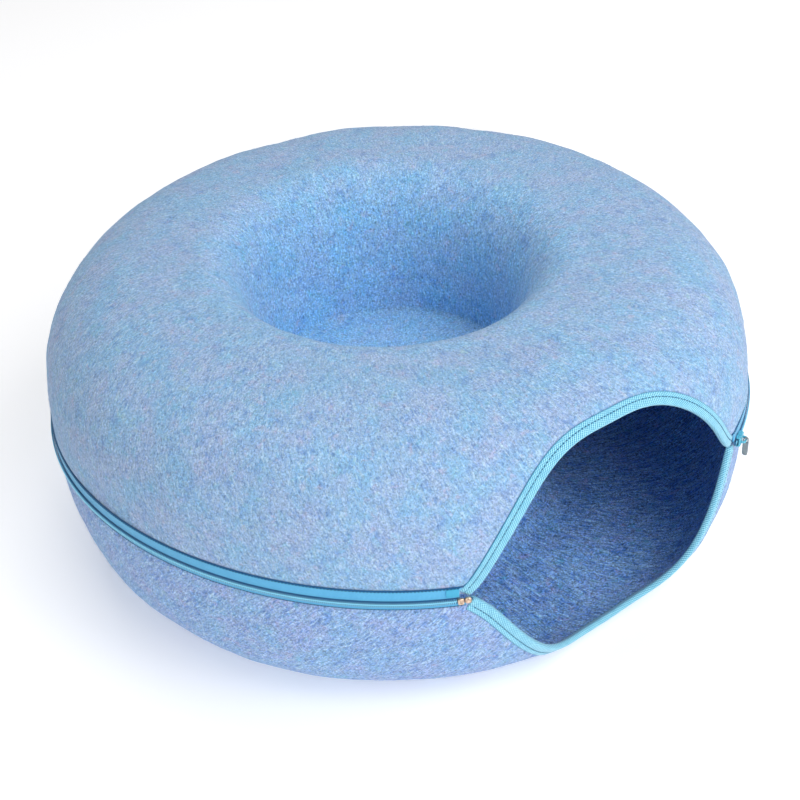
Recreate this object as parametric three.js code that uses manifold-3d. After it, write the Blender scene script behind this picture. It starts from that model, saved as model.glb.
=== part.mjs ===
// A ring-shaped felt bed for a cat: two moulded felt halves, zipped together round the
// widest part, make a hollow ring with a well in the middle and an arched doorway.
// Millimetres, +Z up, the bed stands on z = 0. Angles are in degrees seen from above;
// the doorway faces -Y.

import * as THREE from 'three';
import { mergeVertices } from 'three/addons/utils/BufferGeometryUtils.js';
import Module from 'manifold-3d';

// Driving sizes of the two felt halves. Heights are counted from the zip line.
const ringRadius = 300;
const lowerHeight = 120.6;
const upperHeight = 134;
const crownRadius = 165.5;
const baseOuterRadius = 172;
const baseInnerRadius = 156;
const wellFloorRadius = 108;
const upperFloorLevel = 4;
const lowerFloorLevel = 4.5;
const archSquareness = 2.92;
const lowerSquareness = 3.24;
const wellSquareness = 2.6;
const feltThickness = 4;
const feltEdgeFromZipLine = 3;

// The ring stands behind the middle of its bounding box, because the doorway
// takes away its foremost edge.
const ringAxisY = -9.1;

// How the soft ring has settled: the zip line sags a little, the crown leans, the well
// sits off centre. Each is a size and the direction in which it is largest.
const seamSag = { amount: 14.2, towards: -197.2 };
const seamWave = { amount: 7.9, towards: 28.2 };
const crownLean = { amount: 5.5, towards: 138.1 };
const wellShift = { amount: 7.7, towards: 170.5 };

// The zip line is also pulled up round the doorway's right corner: by how much, where,
// and over how many degrees the pull fades.
const seamLift = { amount: 28.5, towards: -63.7, fade: 39.7 };

// Doorway: half its width as an angle, and the cut in each half. Rise is how far the
// cut reaches along the felt, shape and bell how full and how pointed its curve is,
// slant makes it fuller on one side, skew moves its far end sideways. Near each corner
// the cut also flares out by some degrees, which fade with the length along the felt.
// The cut stops a little short of the corners, where it would be too sharp to bind:
// left and right say at what share of the half width.
const doorwayCentre = -89.5;
const doorwayHalfAngle = 25.9;
const upperCut = {
  rise: 111.1, shape: 2.93, bell: 1.34, slant: 0.14, skew: 0, left: 0.99, right: 0.99,
  leftFlare: 0.5, leftFade: 9.6, rightFlare: 0.4, rightFade: 15,
};
const lowerCut = {
  rise: 114, shape: 2.82, bell: 1.52, slant: -0.01, skew: 0.075, left: 0.98, right: 0.99,
  leftFlare: 0.49, leftFade: 12, rightFlare: 1.88, rightFade: 60,
};

// Binding folded over the felt at the doorway, with the wider leaf outside.
const bindingWidth = 11;
const bindingInnerWidth = 7.5;
const bindingThickness = 1;
const bindingGap = 0.35;
const bindingClearOfZipLine = 2.8;

// Zip: two tapes lying on the felt, an interlocked coil, stops and a slider.
const tapeThickness = 1.2;
const upperTapeWidth = 13;
const lowerTapeWidth = 6.2;
const tapeInnerEdge = 0.3;
const tapeMiddleShare = 0.65;
const tapeGapToBinding = 1.3;
const chainWidth = 5;
const chainHeight = 2.1;
const chainLift = 1.9;
const stopLength = 4.8;
const stopHeight = 2.7;
const pinFromCorner = 0.3;
const sliderLength = 12.5;
const sliderFromCorner = 8;

// How finely the shapes are divided.
const archSteps = 7;
const wallSteps = 6;
const doorwaySteps = 44;
const shoulderSteps = 3;
const shoulderAngle = 1.7;
const ringSteps = 38;
const bindingSteps = 44;
const tapeSteps = 62;
const edgeRows = [8, 16, 25];

const rad = (degrees) => (degrees * Math.PI) / 180;
const lerp = (a, b, f) => a + (b - a) * f;
const wave = (part, angle, order = 1) => part.amount * Math.cos(rad((angle - part.towards) * order));

function finish(hex, roughness, metalness = 0) {
  return new THREE.MeshStandardMaterial({ color: new THREE.Color(hex), roughness, metalness });
}

// The section of one half as a table along its length: from the zip line over the
// crown (or under the base), up the side of the well and across to the well's centre.
// r is the radius, z the distance from the zip line, nr and nz the outward direction;
// seam, crown and shift say how much of the sag, the lean and the well's shift apply.
function makeHalf(sign, height, outer, inner, squareness, floorLevel) {
  const points = [];
  const steps = 160;
  for (let i = 0; i <= steps; i += 1) {
    const t = (Math.PI / 2) * (i / steps);
    const z = height * Math.sin(t) ** (2 / squareness);
    const r = outer + (ringRadius - outer) * Math.max(Math.cos(t), 0) ** (2 / squareness);
    points.push({ r, z, seam: 1 - z / height, crown: z / height, shift: 0 });
  }
  const archEnd = points.length - 1;
  const wallStart = outer > inner ? 0 : 1;
  const wallFirst = archEnd + 1 - wallStart;
  for (let i = wallStart; i <= steps; i += 1) {
    const t = (Math.PI / 2) * (i / steps);
    const r = inner - (inner - wellFloorRadius) * Math.sin(t) ** (2 / wellSquareness);
    const z = floorLevel
      + (height - floorLevel) * Math.max(Math.cos(t), 0) ** (2 / wellSquareness);
    points.push({ r, z, seam: 0, crown: 1 - i / steps, shift: i / steps });
  }
  const wallEnd = points.length - 1;
  points.push({ r: 0, z: floorLevel, seam: 0, crown: 0, shift: 1 });
  let length = 0;
  points.forEach((p, i) => {
    if (i > 0) length += Math.hypot(p.r - points[i - 1].r, p.z - points[i - 1].z);
    p.s = length;
  });
  points.forEach((p, i) => {
    const a = points[Math.max(i - 1, 0)];
    const b = points[Math.min(i + 1, points.length - 1)];
    const across = Math.hypot(b.r - a.r, b.z - a.z);
    p.nr = (b.z - a.z) / across;
    p.nz = -(b.r - a.r) / across;
  });
  const last = points[points.length - 1];
  last.nr = 0;
  last.nz = 1;
  return {
    sign,
    points,
    crownAt: points[archEnd].s,
    wallAt: points[wallFirst].s,
    floorAt: points[wallEnd].s,
    endAt: length,
  };
}

function sample(half, s) {
  const { points } = half;
  let low = 0;
  let high = points.length - 1;
  while (high - low > 1) {
    const middle = (low + high) >> 1;
    if (points[middle].s <= s) low = middle;
    else high = middle;
  }
  const a = points[low];
  const b = points[high];
  const f = Math.min(Math.max((s - a.s) / (b.s - a.s), 0), 1);
  const out = {};
  for (const key of ['r', 'z', 'nr', 'nz', 'seam', 'crown', 'shift']) out[key] = lerp(a[key], b[key], f);
  const size = Math.hypot(out.nr, out.nz);
  out.nr /= size;
  out.nz /= size;
  return out;
}

// The zip line's pull at an angle: amount times exp(-(turn / fade) squared).
function liftAt(angle) {
  const turn = ((((angle - seamLift.towards + 180) % 360) + 360) % 360) - 180;
  return seamLift.amount * Math.exp(-((turn / seamLift.fade) ** 2));
}

// The point at an angle, a length s along the section and a lift off the outer face.
function place(half, angle, s, lift = 0) {
  const p = sample(half, s);
  const radius = p.r + lift * p.nr;
  const crown = half.sign > 0 ? p.crown * wave(crownLean, angle) : 0;
  const settle = p.seam * (wave(seamSag, angle) + wave(seamWave, angle, 2) + liftAt(angle));
  const z = lowerHeight + half.sign * (p.z + lift * p.nz) + crown + settle;
  const shiftX = p.shift * wellShift.amount * Math.cos(rad(wellShift.towards));
  const shiftY = p.shift * wellShift.amount * Math.sin(rad(wellShift.towards));
  const x = radius * Math.cos(rad(angle)) + shiftX;
  const y = radius * Math.sin(rad(angle)) + shiftY + ringAxisY;
  return new THREE.Vector3(x, y, z);
}

const upper = makeHalf(1, upperHeight, crownRadius, crownRadius, archSquareness, upperFloorLevel);
const lower = makeHalf(-1, lowerHeight, baseOuterRadius, baseInnerRadius, lowerSquareness, lowerFloorLevel);

// The point at a signed distance across the zip line, positive upwards.
function placeAcross(angle, across, lift) {
  return across >= 0 ? place(upper, angle, across, lift) : place(lower, angle, -across, lift);
}

// The doorway's edge in one half, from its left corner to its right corner. Each
// station holds its angle, its length along the section and the unit direction that
// leads from the edge into the felt, as a sideways and an along-the-section part. With
// u from -1 to 1 the length is rise (1 - |u| ^ shape) ^ (bell + slant u), and each
// side turns outwards by its flare u u exp(-(s / fade) squared).
function doorwayEdge(half, steps) {
  const cut = half.sign > 0 ? upperCut : lowerCut;
  const fine = [];
  for (let i = 0; i <= 300; i += 1) {
    const swing = Math.sin(Math.PI * (i / 300 - 0.5));
    const u = swing * (swing < 0 ? cut.left : cut.right);
    const s = cut.rise * (1 - Math.abs(u) ** cut.shape) ** (cut.bell + cut.slant * u);
    const turnLeft = cut.leftFlare * Math.min(u, 0) ** 2 * Math.exp(-((s / cut.leftFade) ** 2));
    const turnRight = cut.rightFlare * Math.max(u, 0) ** 2 * Math.exp(-((s / cut.rightFade) ** 2));
    const even = doorwayCentre + doorwayHalfAngle * (u + cut.skew * (1 - u * u));
    const angle = even + turnRight - turnLeft;
    const radius = sample(half, s).r;
    const before = fine[i - 1];
    const step = before ? Math.hypot(radius * rad(angle - before.angle), s - before.s) : 0;
    fine.push({ angle, s, radius, along: before ? before.along + step : 0 });
  }
  const total = fine[fine.length - 1].along;
  const stations = [];
  for (let i = 0; i <= steps; i += 1) {
    const want = (total * i) / steps;
    const k = Math.max(fine.findIndex((p) => p.along >= want - 1e-9), 1);
    const a = fine[k - 1];
    const b = fine[k];
    const f = (want - a.along) / (b.along - a.along);
    const angle = lerp(a.angle, b.angle, f);
    const s = lerp(a.s, b.s, f);
    stations.push({ angle, s, radius: lerp(a.radius, b.radius, f) });
  }
  stations.forEach((p, i) => {
    const a = stations[Math.max(i - 1, 0)];
    const b = stations[Math.min(i + 1, steps)];
    const side = p.radius * rad(b.angle - a.angle);
    const along = b.s - a.s;
    const size = Math.hypot(side, along);
    p.side = -along / size;
    p.along = side / size;
  });
  return stations;
}

// A station moved into the felt by a distance, kept clear of the zip line.
function stepIn(station, distance, clear) {
  const angle = station.angle + (distance * station.side * 180) / Math.PI / station.radius;
  return { angle, s: Math.max(station.s + distance * station.along, clear) };
}

// A closed solid from rings of points: each ring has the same count and runs round the
// section; the first and last rings are capped. A strip is capped straight across from
// its one side to the other, any other section by cutting it into triangles.
function sweep(rings, strip = false) {
  const positions = [];
  const indices = [];
  const count = rings[0].length;
  rings.forEach((ring) => ring.forEach((p) => positions.push(p.x, p.y, p.z)));
  for (let i = 0; i + 1 < rings.length; i += 1) {
    for (let k = 0; k < count; k += 1) {
      const a = i * count + k;
      const b = i * count + ((k + 1) % count);
      indices.push(a, b, b + count, a, b + count, a + count);
    }
  }
  const stripCap = (offset, flip) => {
    for (let k = 0; k + 1 < count / 2; k += 1) {
      const [a, b, c, d] = [k, k + 1, count - 2 - k, count - 1 - k].map((i) => offset + i);
      indices.push(...(flip ? [a, c, b, a, d, c] : [a, b, c, a, c, d]));
    }
  };
  const cap = (ring, offset, flip) => {
    if (strip) {
      stripCap(offset, flip);
      return;
    }
    const centre = new THREE.Vector3();
    ring.forEach((p) => centre.add(p));
    centre.divideScalar(count);
    const normal = new THREE.Vector3();
    for (let k = 0; k < count; k += 1) {
      const a = ring[k].clone().sub(centre);
      const b = ring[(k + 1) % count].clone().sub(centre);
      normal.add(a.cross(b));
    }
    normal.normalize();
    const sideways = ring[1].clone().sub(ring[0]).normalize();
    const upward = normal.clone().cross(sideways);
    const flat = ring.map((p) => {
      const d = p.clone().sub(centre);
      return new THREE.Vector2(d.dot(sideways), d.dot(upward));
    });
    THREE.ShapeUtils.triangulateShape(flat, []).forEach(([a, b, c]) => {
      indices.push(offset + a, offset + (flip ? c : b), offset + (flip ? b : c));
    });
  };
  cap(rings[0], 0, true);
  cap(rings[rings.length - 1], (rings.length - 1) * count, false);
  return { positions, indices };
}

function meshOf(name, { positions, indices }, material) {
  const geometry = new THREE.BufferGeometry();
  geometry.setAttribute('position', new THREE.Float32BufferAttribute(positions, 3));
  geometry.setIndex(indices);
  let volume = 0;
  const corner = (i) => new THREE.Vector3().fromArray(positions, 3 * i);
  for (let i = 0; i < indices.length; i += 3) {
    volume += corner(indices[i]).dot(corner(indices[i + 1]).cross(corner(indices[i + 2])));
  }
  if (volume < 0) {
    const turned = [];
    for (let i = 0; i < indices.length; i += 3) turned.push(indices[i], indices[i + 2], indices[i + 1]);
    geometry.setIndex(turned);
  }
  geometry.computeVertexNormals();
  const mesh = new THREE.Mesh(geometry, material);
  mesh.name = name;
  return mesh;
}

// Lengths along the section at which the felt is divided, closer together where it
// turns more.
function sectionDivisions(half) {
  const pick = (from, to, steps) => {
    const inside = half.points.filter((p) => p.s >= from - 1e-6 && p.s <= to + 1e-6);
    const measure = [0];
    for (let i = 1; i < inside.length; i += 1) {
      const a = inside[i - 1];
      const b = inside[i];
      const turn = Math.acos(Math.min(a.nr * b.nr + a.nz * b.nz, 1));
      measure.push(measure[i - 1] + (b.s - a.s) / (to - from) + turn);
    }
    const total = measure[measure.length - 1];
    const out = [];
    for (let k = 1; k <= steps; k += 1) {
      const want = (total * k) / steps;
      let i = measure.findIndex((m) => m >= want - 1e-9);
      if (i < 1) i = 1;
      const f = (want - measure[i - 1]) / (measure[i] - measure[i - 1]);
      out.push(lerp(inside[i - 1].s, inside[i].s, f));
    }
    return out;
  };
  const flat = half.wallAt > half.crownAt ? [half.wallAt] : [];
  const middleOfFloor = lerp(half.floorAt, half.endAt, 0.5);
  return [
    ...pick(0, half.crownAt, archSteps),
    ...flat,
    ...pick(half.wallAt, half.floorAt, wallSteps),
    middleOfFloor,
  ];
}

// One felt half: an outer and an inner skin joined along the edge. Every column starts
// at the felt's edge: the zip line, or the doorway where it cuts higher.
function feltHalf(half) {
  const edge = doorwayEdge(half, doorwaySteps)
    .map((p) => stepIn(p, bindingThickness + bindingGap, feltEdgeFromZipLine));
  const first = edge[0].angle;
  const last = edge[edge.length - 1].angle;
  const columns = [...edge];
  const shoulder = shoulderSteps * shoulderAngle;
  for (let i = 1; i < shoulderSteps; i += 1) columns.push({ angle: last + i * shoulderAngle });
  for (let i = 0; i <= ringSteps; i += 1) {
    columns.push({ angle: lerp(last + shoulder, first + 360 - shoulder, i / ringSteps) });
  }
  for (let i = shoulderSteps - 1; i > 0; i -= 1) columns.push({ angle: first + 360 - i * shoulderAngle });
  const divisions = sectionDivisions(half);
  const rows = divisions.length + edgeRows.length + 1;
  const positions = [];
  const indices = [];
  const skin = (lift) => {
    const offset = positions.length / 3;
    columns.forEach(({ angle, s = feltEdgeFromZipLine }) => {
      const from = s + edgeRows[edgeRows.length - 1];
      const squeeze = 1 - from / half.crownAt;
      const stations = [s, ...edgeRows.map((row) => s + row)];
      divisions.forEach((d) => stations.push(d < half.crownAt ? from + d * squeeze : d));
      stations.forEach((at) => positions.push(...place(half, angle, at, lift)));
    });
    positions.push(...place(half, 0, half.endAt, lift));
    return offset;
  };
  // Two triangles over four corners, split along the shorter diagonal.
  const corner = (i) => new THREE.Vector3().fromArray(positions, 3 * i);
  const quad = (a, b, c, d, flip) => {
    const across = corner(a).distanceTo(corner(c)) <= corner(b).distanceTo(corner(d));
    const faces = across ? [a, b, c, a, c, d] : [a, b, d, b, c, d];
    indices.push(...(flip ? faces.reverse() : faces));
  };
  const outside = skin(0);
  const inside = skin(-feltThickness);
  const count = columns.length;
  for (let i = 0; i < count; i += 1) {
    const here = i * rows;
    const next = ((i + 1) % count) * rows;
    for (let k = 0; k + 1 < rows; k += 1) {
      for (const [offset, flip] of [[outside, false], [inside, true]]) {
        quad(offset + here + k, offset + next + k, offset + next + k + 1, offset + here + k + 1, flip);
      }
    }
    const lastRow = rows - 1;
    indices.push(outside + here + lastRow, outside + next + lastRow, outside + count * rows);
    indices.push(inside + next + lastRow, inside + here + lastRow, inside + count * rows);
    indices.push(inside + here, inside + next, outside + next, inside + here, outside + next, outside + here);
  }
  return { positions, indices };
}

// The binding: a tape folded round the felt's edge, an outer and an inner leaf joined
// by the fold.
function binding(half) {
  const out = bindingGap + bindingThickness;
  const back = -feltThickness - out;
  const section = [
    [bindingWidth, bindingGap], [bindingWidth, out], [0.6, out], [0, out - 0.7],
    [0, back + 0.7], [0.6, back], [bindingInnerWidth, back],
    [bindingInnerWidth, -feltThickness - bindingGap], [bindingThickness, -feltThickness - bindingGap],
    [bindingThickness, bindingGap],
  ];
  const rings = doorwayEdge(half, bindingSteps).map((station) => section.map(([inward, lift]) => {
    const { angle, s } = stepIn(station, inward, bindingClearOfZipLine);
    return place(half, angle, s, lift);
  }));
  return sweep(rings);
}

// The angle at which a tape ends beside the binding, at a length along the section, on
// the left (-1) or right (+1) side of the doorway.
function tapeEnd(half, side, s) {
  const line = doorwayEdge(half, 120).map((p) => stepIn(p, bindingWidth + tapeGapToBinding, 0));
  if (side > 0) line.reverse();
  const i = Math.max(line.findIndex((p) => p.s > s), 1);
  const a = line[i - 1];
  const b = line[i];
  return lerp(a.angle, b.angle, Math.min(Math.max((s - a.s) / (b.s - a.s), 0), 1));
}

// One zip tape: a flat strip lying on the felt, from one side of the doorway round the
// back to the other, its ends cut along the binding.
function zipTape(half, width) {
  const levels = [tapeInnerEdge, tapeMiddleShare * width, width];
  const leftEnds = levels.map((s) => tapeEnd(half, -1, s));
  const rightEnds = levels.map((s) => tapeEnd(half, 1, s) - 360);
  const rings = [];
  for (let i = 0; i <= tapeSteps; i += 1) {
    const f = i / tapeSteps;
    const at = (k, lift) => place(half, lerp(leftEnds[k], rightEnds[k], f), levels[k], lift);
    const under = [0, 1, 2].map((k) => at(k, bindingGap));
    const over = [2, 1, 0].map((k) => at(k, bindingGap + tapeThickness));
    rings.push([...under, ...over]);
  }
  return sweep(rings, true);
}

// The closed coil as a band with a low ridge along each side and a groove between.
function zipChain(from, to) {
  const h = chainWidth / 2;
  const top = chainLift + chainHeight;
  const section = [[-h, chainLift], [-h, top - 0.7], [-h + 0.9, top], [0, top - 0.6],
    [h - 0.9, top], [h, top - 0.7], [h, chainLift]];
  const rings = [];
  for (let i = 0; i <= tapeSteps; i += 1) {
    const angle = lerp(from, to, i / tapeSteps);
    rings.push(section.map(([across, lift]) => placeAcross(angle, across, lift)));
  }
  return sweep(rings);
}

// A short block lying on the zip at an angle: its outline across the zip and off it,
// carried along by a length.
function block(angle, length, outline) {
  const half = (length / 2 / ringRadius) * (180 / Math.PI);
  return sweep([angle - half, angle, angle + half]
    .map((a) => outline.map(([across, lift]) => placeAcross(a, across, lift))));
}

const leftCorner = doorwayEdge(upper, 2)[0].angle;
const rightCorner = doorwayEdge(lower, 2)[2].angle;
const degreesPerMm = 180 / Math.PI / ringRadius;
const sliderAngle = rightCorner + sliderFromCorner * degreesPerMm;
const stopGap = 0.4;
const pinAngle = leftCorner - (stopLength / 2 + pinFromCorner) * degreesPerMm;
const boxAngle = pinAngle - (stopLength + stopGap) * degreesPerMm;
const chainLeft = boxAngle - (stopLength / 2 + stopGap) * degreesPerMm;

const stopTop = chainLift + stopHeight;
const boxOutline = [[-2.8, chainLift], [-2.8, stopTop - 0.8], [-1.9, stopTop], [2.2, stopTop],
  [3.1, stopTop - 0.8], [3.1, chainLift]];
const pinOutline = [[-2.1, chainLift], [-2.1, stopTop - 1], [-1.3, stopTop - 0.2], [2.6, stopTop - 0.2],
  [3.4, stopTop - 1], [3.4, chainLift]];

// The folded-over end of the upper tape at the doorway's left corner.
function tapeEndPatch() {
  const low = 4.4;
  const high = upperTapeWidth - 1;
  const lift = bindingGap + tapeThickness + 0.3;
  const right = Math.min(tapeEnd(upper, -1, low), tapeEnd(upper, -1, high)) - 0.3 * degreesPerMm;
  const left = right - 9.5 * degreesPerMm;
  return sweep([left, right].map((a) => [[low, lift], [high, lift], [high, lift + 0.8], [low, lift + 0.8]]
    .map(([s, off]) => place(upper, a, s, off))));
}

const wasm = await Module();
wasm.setup();

// The slider's pieces are outlines carried through a length, centred on it, and stood
// in a frame of their own: x along the zip, y across it (upwards), z off the felt. The
// outline's first number runs along the axis called across, its second along up.
function prism(outline, length, across, up) {
  const shape = new THREE.Shape(outline.map(([a, b]) => new THREE.Vector2(a, b)));
  const geometry = new THREE.ExtrudeGeometry(shape, { depth: length, bevelEnabled: false });
  geometry.deleteAttribute('normal');
  geometry.deleteAttribute('uv');
  geometry.translate(0, 0, -length / 2);
  geometry.applyMatrix4(new THREE.Matrix4().makeBasis(across, up, across.clone().cross(up)));
  const merged = mergeVertices(geometry);
  return new wasm.Manifold(new wasm.Mesh({
    numProp: 3,
    vertProperties: merged.getAttribute('position').array,
    triVerts: new Uint32Array(merged.getIndex().array),
  }));
}

function toPart(solid, frame) {
  const mesh = solid.getMesh();
  const positions = [];
  for (let i = 0; i < mesh.numVert; i += 1) {
    const p = new THREE.Vector3().fromArray(mesh.vertProperties, i * mesh.numProp);
    positions.push(...p.applyMatrix4(frame));
  }
  return { positions, indices: Array.from(mesh.triVerts) };
}

const origin = placeAcross(sliderAngle, 0, 0);
const outward = new THREE.Vector3(Math.cos(rad(sliderAngle)), Math.sin(rad(sliderAngle)), 0);
const ahead = placeAcross(sliderAngle + 1, 0, 0).sub(placeAcross(sliderAngle - 1, 0, 0));
const alongZip = ahead.projectOnPlane(outward).normalize();
const upward = outward.clone().cross(alongZip);
const sliderFrame = new THREE.Matrix4().makeBasis(alongZip, upward, outward).setPosition(origin);

const alongX = new THREE.Vector3(1, 0, 0);
const alongY = new THREE.Vector3(0, 1, 0);
const alongZ = new THREE.Vector3(0, 0, 1);
const bridgeWidth = 2;
const pullThickness = 1.5;
const eyeCut = 3;

// The body is a channel that straddles the chain, the bridge a low arch on its top.
const sliderBody = prism([[-4.6, 2], [-3.1, 2], [-3.1, 4.3], [3.1, 4.3], [3.1, 2], [4.6, 2],
  [4.6, 5.2], [3.6, 6.2], [-3.6, 6.2], [-4.6, 5.2]], sliderLength, alongY, alongZ);
const bridge = prism([[-4.6, 5.6], [-3, 5.6], [-3, 8.4], [3, 8.4], [3, 5.6], [4.6, 5.6], [4.6, 9.2],
  [3.8, 10], [-3.8, 10], [-4.6, 9.2]], bridgeWidth, alongX, alongZ);
const slider = sliderBody.add(bridge);

// The pull hangs from the bridge: a small plate with a square eye.
const plate = prism([[-14.2, 7.4], [-15, 8.2], [-15, 10.4], [-14.2, 11.2], [2, 11.6], [2.7, 10.8],
  [2.7, 7.6], [2, 6.8]], pullThickness, alongY, alongZ);
const eye = prism([[-1.6, 7.9], [-1.6, 10.5], [1.6, 10.5], [1.6, 7.9]], eyeCut, alongY, alongZ);
const pull = plate.subtract(eye);

const felt = '#9ab9e0';
const cyan = '#73bbe0';
const group = new THREE.Group();
group.name = 'cat_bed';
group.add(meshOf('upper_shell', feltHalf(upper), finish(felt, 0.95)));
group.add(meshOf('lower_shell', feltHalf(lower), finish('#96afd6', 0.95)));
group.add(meshOf('doorway_binding_upper', binding(upper), finish('#7cc4e2', 0.85)));
group.add(meshOf('doorway_binding_lower', binding(lower), finish('#80c4e0', 0.85)));
group.add(meshOf('zip_tape_upper', zipTape(upper, upperTapeWidth), finish(cyan, 0.8)));
group.add(meshOf('zip_tape_lower', zipTape(lower, lowerTapeWidth), finish(cyan, 0.8)));
group.add(meshOf('zip_chain', zipChain(chainLeft, rightCorner - 360 + 1 * degreesPerMm), finish('#6fb6d8', 0.5)));
group.add(meshOf('zip_tape_end', tapeEndPatch(), finish('#3fa9cc', 0.8)));
group.add(meshOf('zip_stop_box', block(boxAngle, stopLength, boxOutline), finish('#b08a78', 0.35, 1)));
group.add(meshOf('zip_stop_pin', block(pinAngle, stopLength, pinOutline), finish('#c09a86', 0.35, 1)));
group.add(meshOf('slider_body', toPart(slider, sliderFrame), finish('#3f9fc0', 0.4)));
group.add(meshOf('slider_pull', toPart(pull, sliderFrame), finish('#9fb3bd', 0.5)));

export default group;
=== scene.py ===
# %% [markdown]
# The bed is a hollow ring of felt that a cat can walk into or curl up on. A maker
# presses two flat rounds of felt into donut-shaped moulds, cuts a doorway out of both
# halves, binds the cut edges with a folded tape and joins the halves with a long zip
# round the widest part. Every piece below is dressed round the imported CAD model, which
# is loaded first and never moved: the model says where each thing is, this file says
# what it looks like.

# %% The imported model
import bpy
import numpy as np
from mathutils import Matrix, Vector


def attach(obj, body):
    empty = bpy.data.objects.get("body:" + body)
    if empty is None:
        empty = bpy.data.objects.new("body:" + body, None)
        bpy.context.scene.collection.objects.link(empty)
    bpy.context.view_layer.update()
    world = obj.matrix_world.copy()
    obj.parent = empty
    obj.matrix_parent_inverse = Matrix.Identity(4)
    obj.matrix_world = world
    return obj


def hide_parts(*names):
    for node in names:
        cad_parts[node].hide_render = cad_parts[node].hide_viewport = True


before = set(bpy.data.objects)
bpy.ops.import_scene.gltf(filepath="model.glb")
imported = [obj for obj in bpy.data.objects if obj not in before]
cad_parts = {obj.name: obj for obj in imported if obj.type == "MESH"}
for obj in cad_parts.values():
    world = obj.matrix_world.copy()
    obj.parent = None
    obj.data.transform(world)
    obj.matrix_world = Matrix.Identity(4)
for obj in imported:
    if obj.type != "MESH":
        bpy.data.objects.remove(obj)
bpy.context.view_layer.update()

# %% [markdown]
# A camera is a place, a direction and a lens. The picture was taken from a little
# above the bed, from the front left, with the camera tipped by a few degrees. The
# place is worked out from a point inside the bed that the camera aims at, so that
# turning one angle keeps the bed in the middle of the picture.

# %% The camera
MM = 0.001
PICTURE_PIXELS = 800
FOCAL_PIXELS = 1509.9
OFF_CENTRE_PIXELS = (7.9, 2.3)
SENSOR_MM = 36.0
CAMERA_HEADING = 57.1
CAMERA_ELEVATION = 36.05
CAMERA_ROLL = -4.67
CAMERA_DISTANCE = 1353.7 * MM
CAMERA_AIM = np.array([-6.2, -5.1, 92.7]) * MM


def direction(heading, elevation=0.0):
    """Unit vector at a heading (degrees seen from above, from +X) and an elevation."""
    h, e = np.radians(heading), np.radians(elevation)
    return np.array([np.cos(e) * np.cos(h), np.cos(e) * np.sin(h), np.sin(e)])


def matrix_of(right, up, back, place):
    """4 x 4 matrix whose columns are three axes and a place."""
    columns = np.stack([right, up, back, place], axis=1)
    return Matrix(np.vstack([columns, [0, 0, 0, 1]]).tolist())


to_camera = direction(CAMERA_HEADING + 180, CAMERA_ELEVATION)
level_right = direction(CAMERA_HEADING - 90)
level_up = np.cross(to_camera, level_right)
roll = np.radians(CAMERA_ROLL)
camera_right = np.cos(roll) * level_right + np.sin(roll) * level_up
camera_up = np.cos(roll) * level_up - np.sin(roll) * level_right

lens = bpy.data.cameras.new("camera")
lens.sensor_width = SENSOR_MM
lens.lens = SENSOR_MM * FOCAL_PIXELS / PICTURE_PIXELS
lens.shift_x, lens.shift_y = (pixels / PICTURE_PIXELS for pixels in OFF_CENTRE_PIXELS)
camera = bpy.data.objects.new("camera", lens)
bpy.context.scene.collection.objects.link(camera)
camera.matrix_world = matrix_of(camera_right, camera_up, to_camera,
                                CAMERA_AIM + to_camera * CAMERA_DISTANCE)
bpy.context.scene.camera = camera
print("camera at", tuple(round(v, 3) for v in camera.location), "lens", round(lens.lens, 1), "mm")

# %% [markdown]
# Product pictures of soft things are lit with large soft boxes, which give shadows
# without edges, and the whole studio is white, so light also comes back from below.
# Here two large lamps stand high to the right of the camera, a low one beside them
# shines into the doorway, one lights the far side from behind and a weak one fills the
# left. A white sky gives the rest. The floor is a plain, nearly white plane that glows
# a little, as a paper sweep does that is lit from behind.

# %% The studio
SKY_STRENGTH = 0.25
LAMPS = {
    "key_lamp": {"bearing": 34, "elevation": 45, "distance": 2.6, "size": 1.6, "watts": 25},
    "side_lamp": {"bearing": 62, "elevation": 44, "distance": 2.6, "size": 1.6, "watts": 19},
    "low_lamp": {"bearing": 26, "elevation": 13, "distance": 2.6, "size": 1.5, "watts": 13},
    "back_lamp": {"bearing": 190, "elevation": 68, "distance": 2.6, "size": 1.8, "watts": 23},
    "left_lamp": {"bearing": -60, "elevation": 15, "distance": 2.6, "size": 1.6, "watts": 9},
}
FLOOR_SIZE = 60.0
FLOOR_COLOUR = (0.93, 0.93, 0.94, 1)
FLOOR_LIGHT = 0.3
WHITE = (1, 1, 1, 1)


def add_lamp(name, bearing, elevation, distance, size, watts):
    """Square soft lamp aimed at the bed: bearing is in degrees round the bed from the
    camera towards the picture's right side."""
    light = bpy.data.lights.new(name, "AREA")
    light.shape, light.size, light.energy = "SQUARE", size, watts
    lamp = bpy.data.objects.new(name, light)
    bpy.context.scene.collection.objects.link(lamp)
    away = direction(CAMERA_HEADING + 180 + bearing, elevation)
    lamp.location = Vector(CAMERA_AIM + away * distance)
    lamp.rotation_euler = Vector(away).to_track_quat("Z", "Y").to_euler()


for lamp_name, lamp_sizes in LAMPS.items():
    add_lamp(lamp_name, **lamp_sizes)

sky = bpy.data.worlds.new("white_studio")
bpy.context.scene.world = sky
sky.use_nodes = True
backdrop = sky.node_tree.nodes["Background"].inputs
backdrop["Color"].default_value = WHITE
backdrop["Strength"].default_value = SKY_STRENGTH
bpy.context.scene.view_settings.view_transform = "Standard"
print(len(LAMPS), "lamps and a sky of strength", SKY_STRENGTH)

# %% [markdown]
# Materials are made of nodes. Writing the sums of a pattern as Python expressions is
# easier to read than wiring nodes by hand, so a small class stands for one output
# socket and turns +, - and * into Math nodes. Everything else comes from one method
# that takes a node's type, its settings and its inputs.


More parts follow.
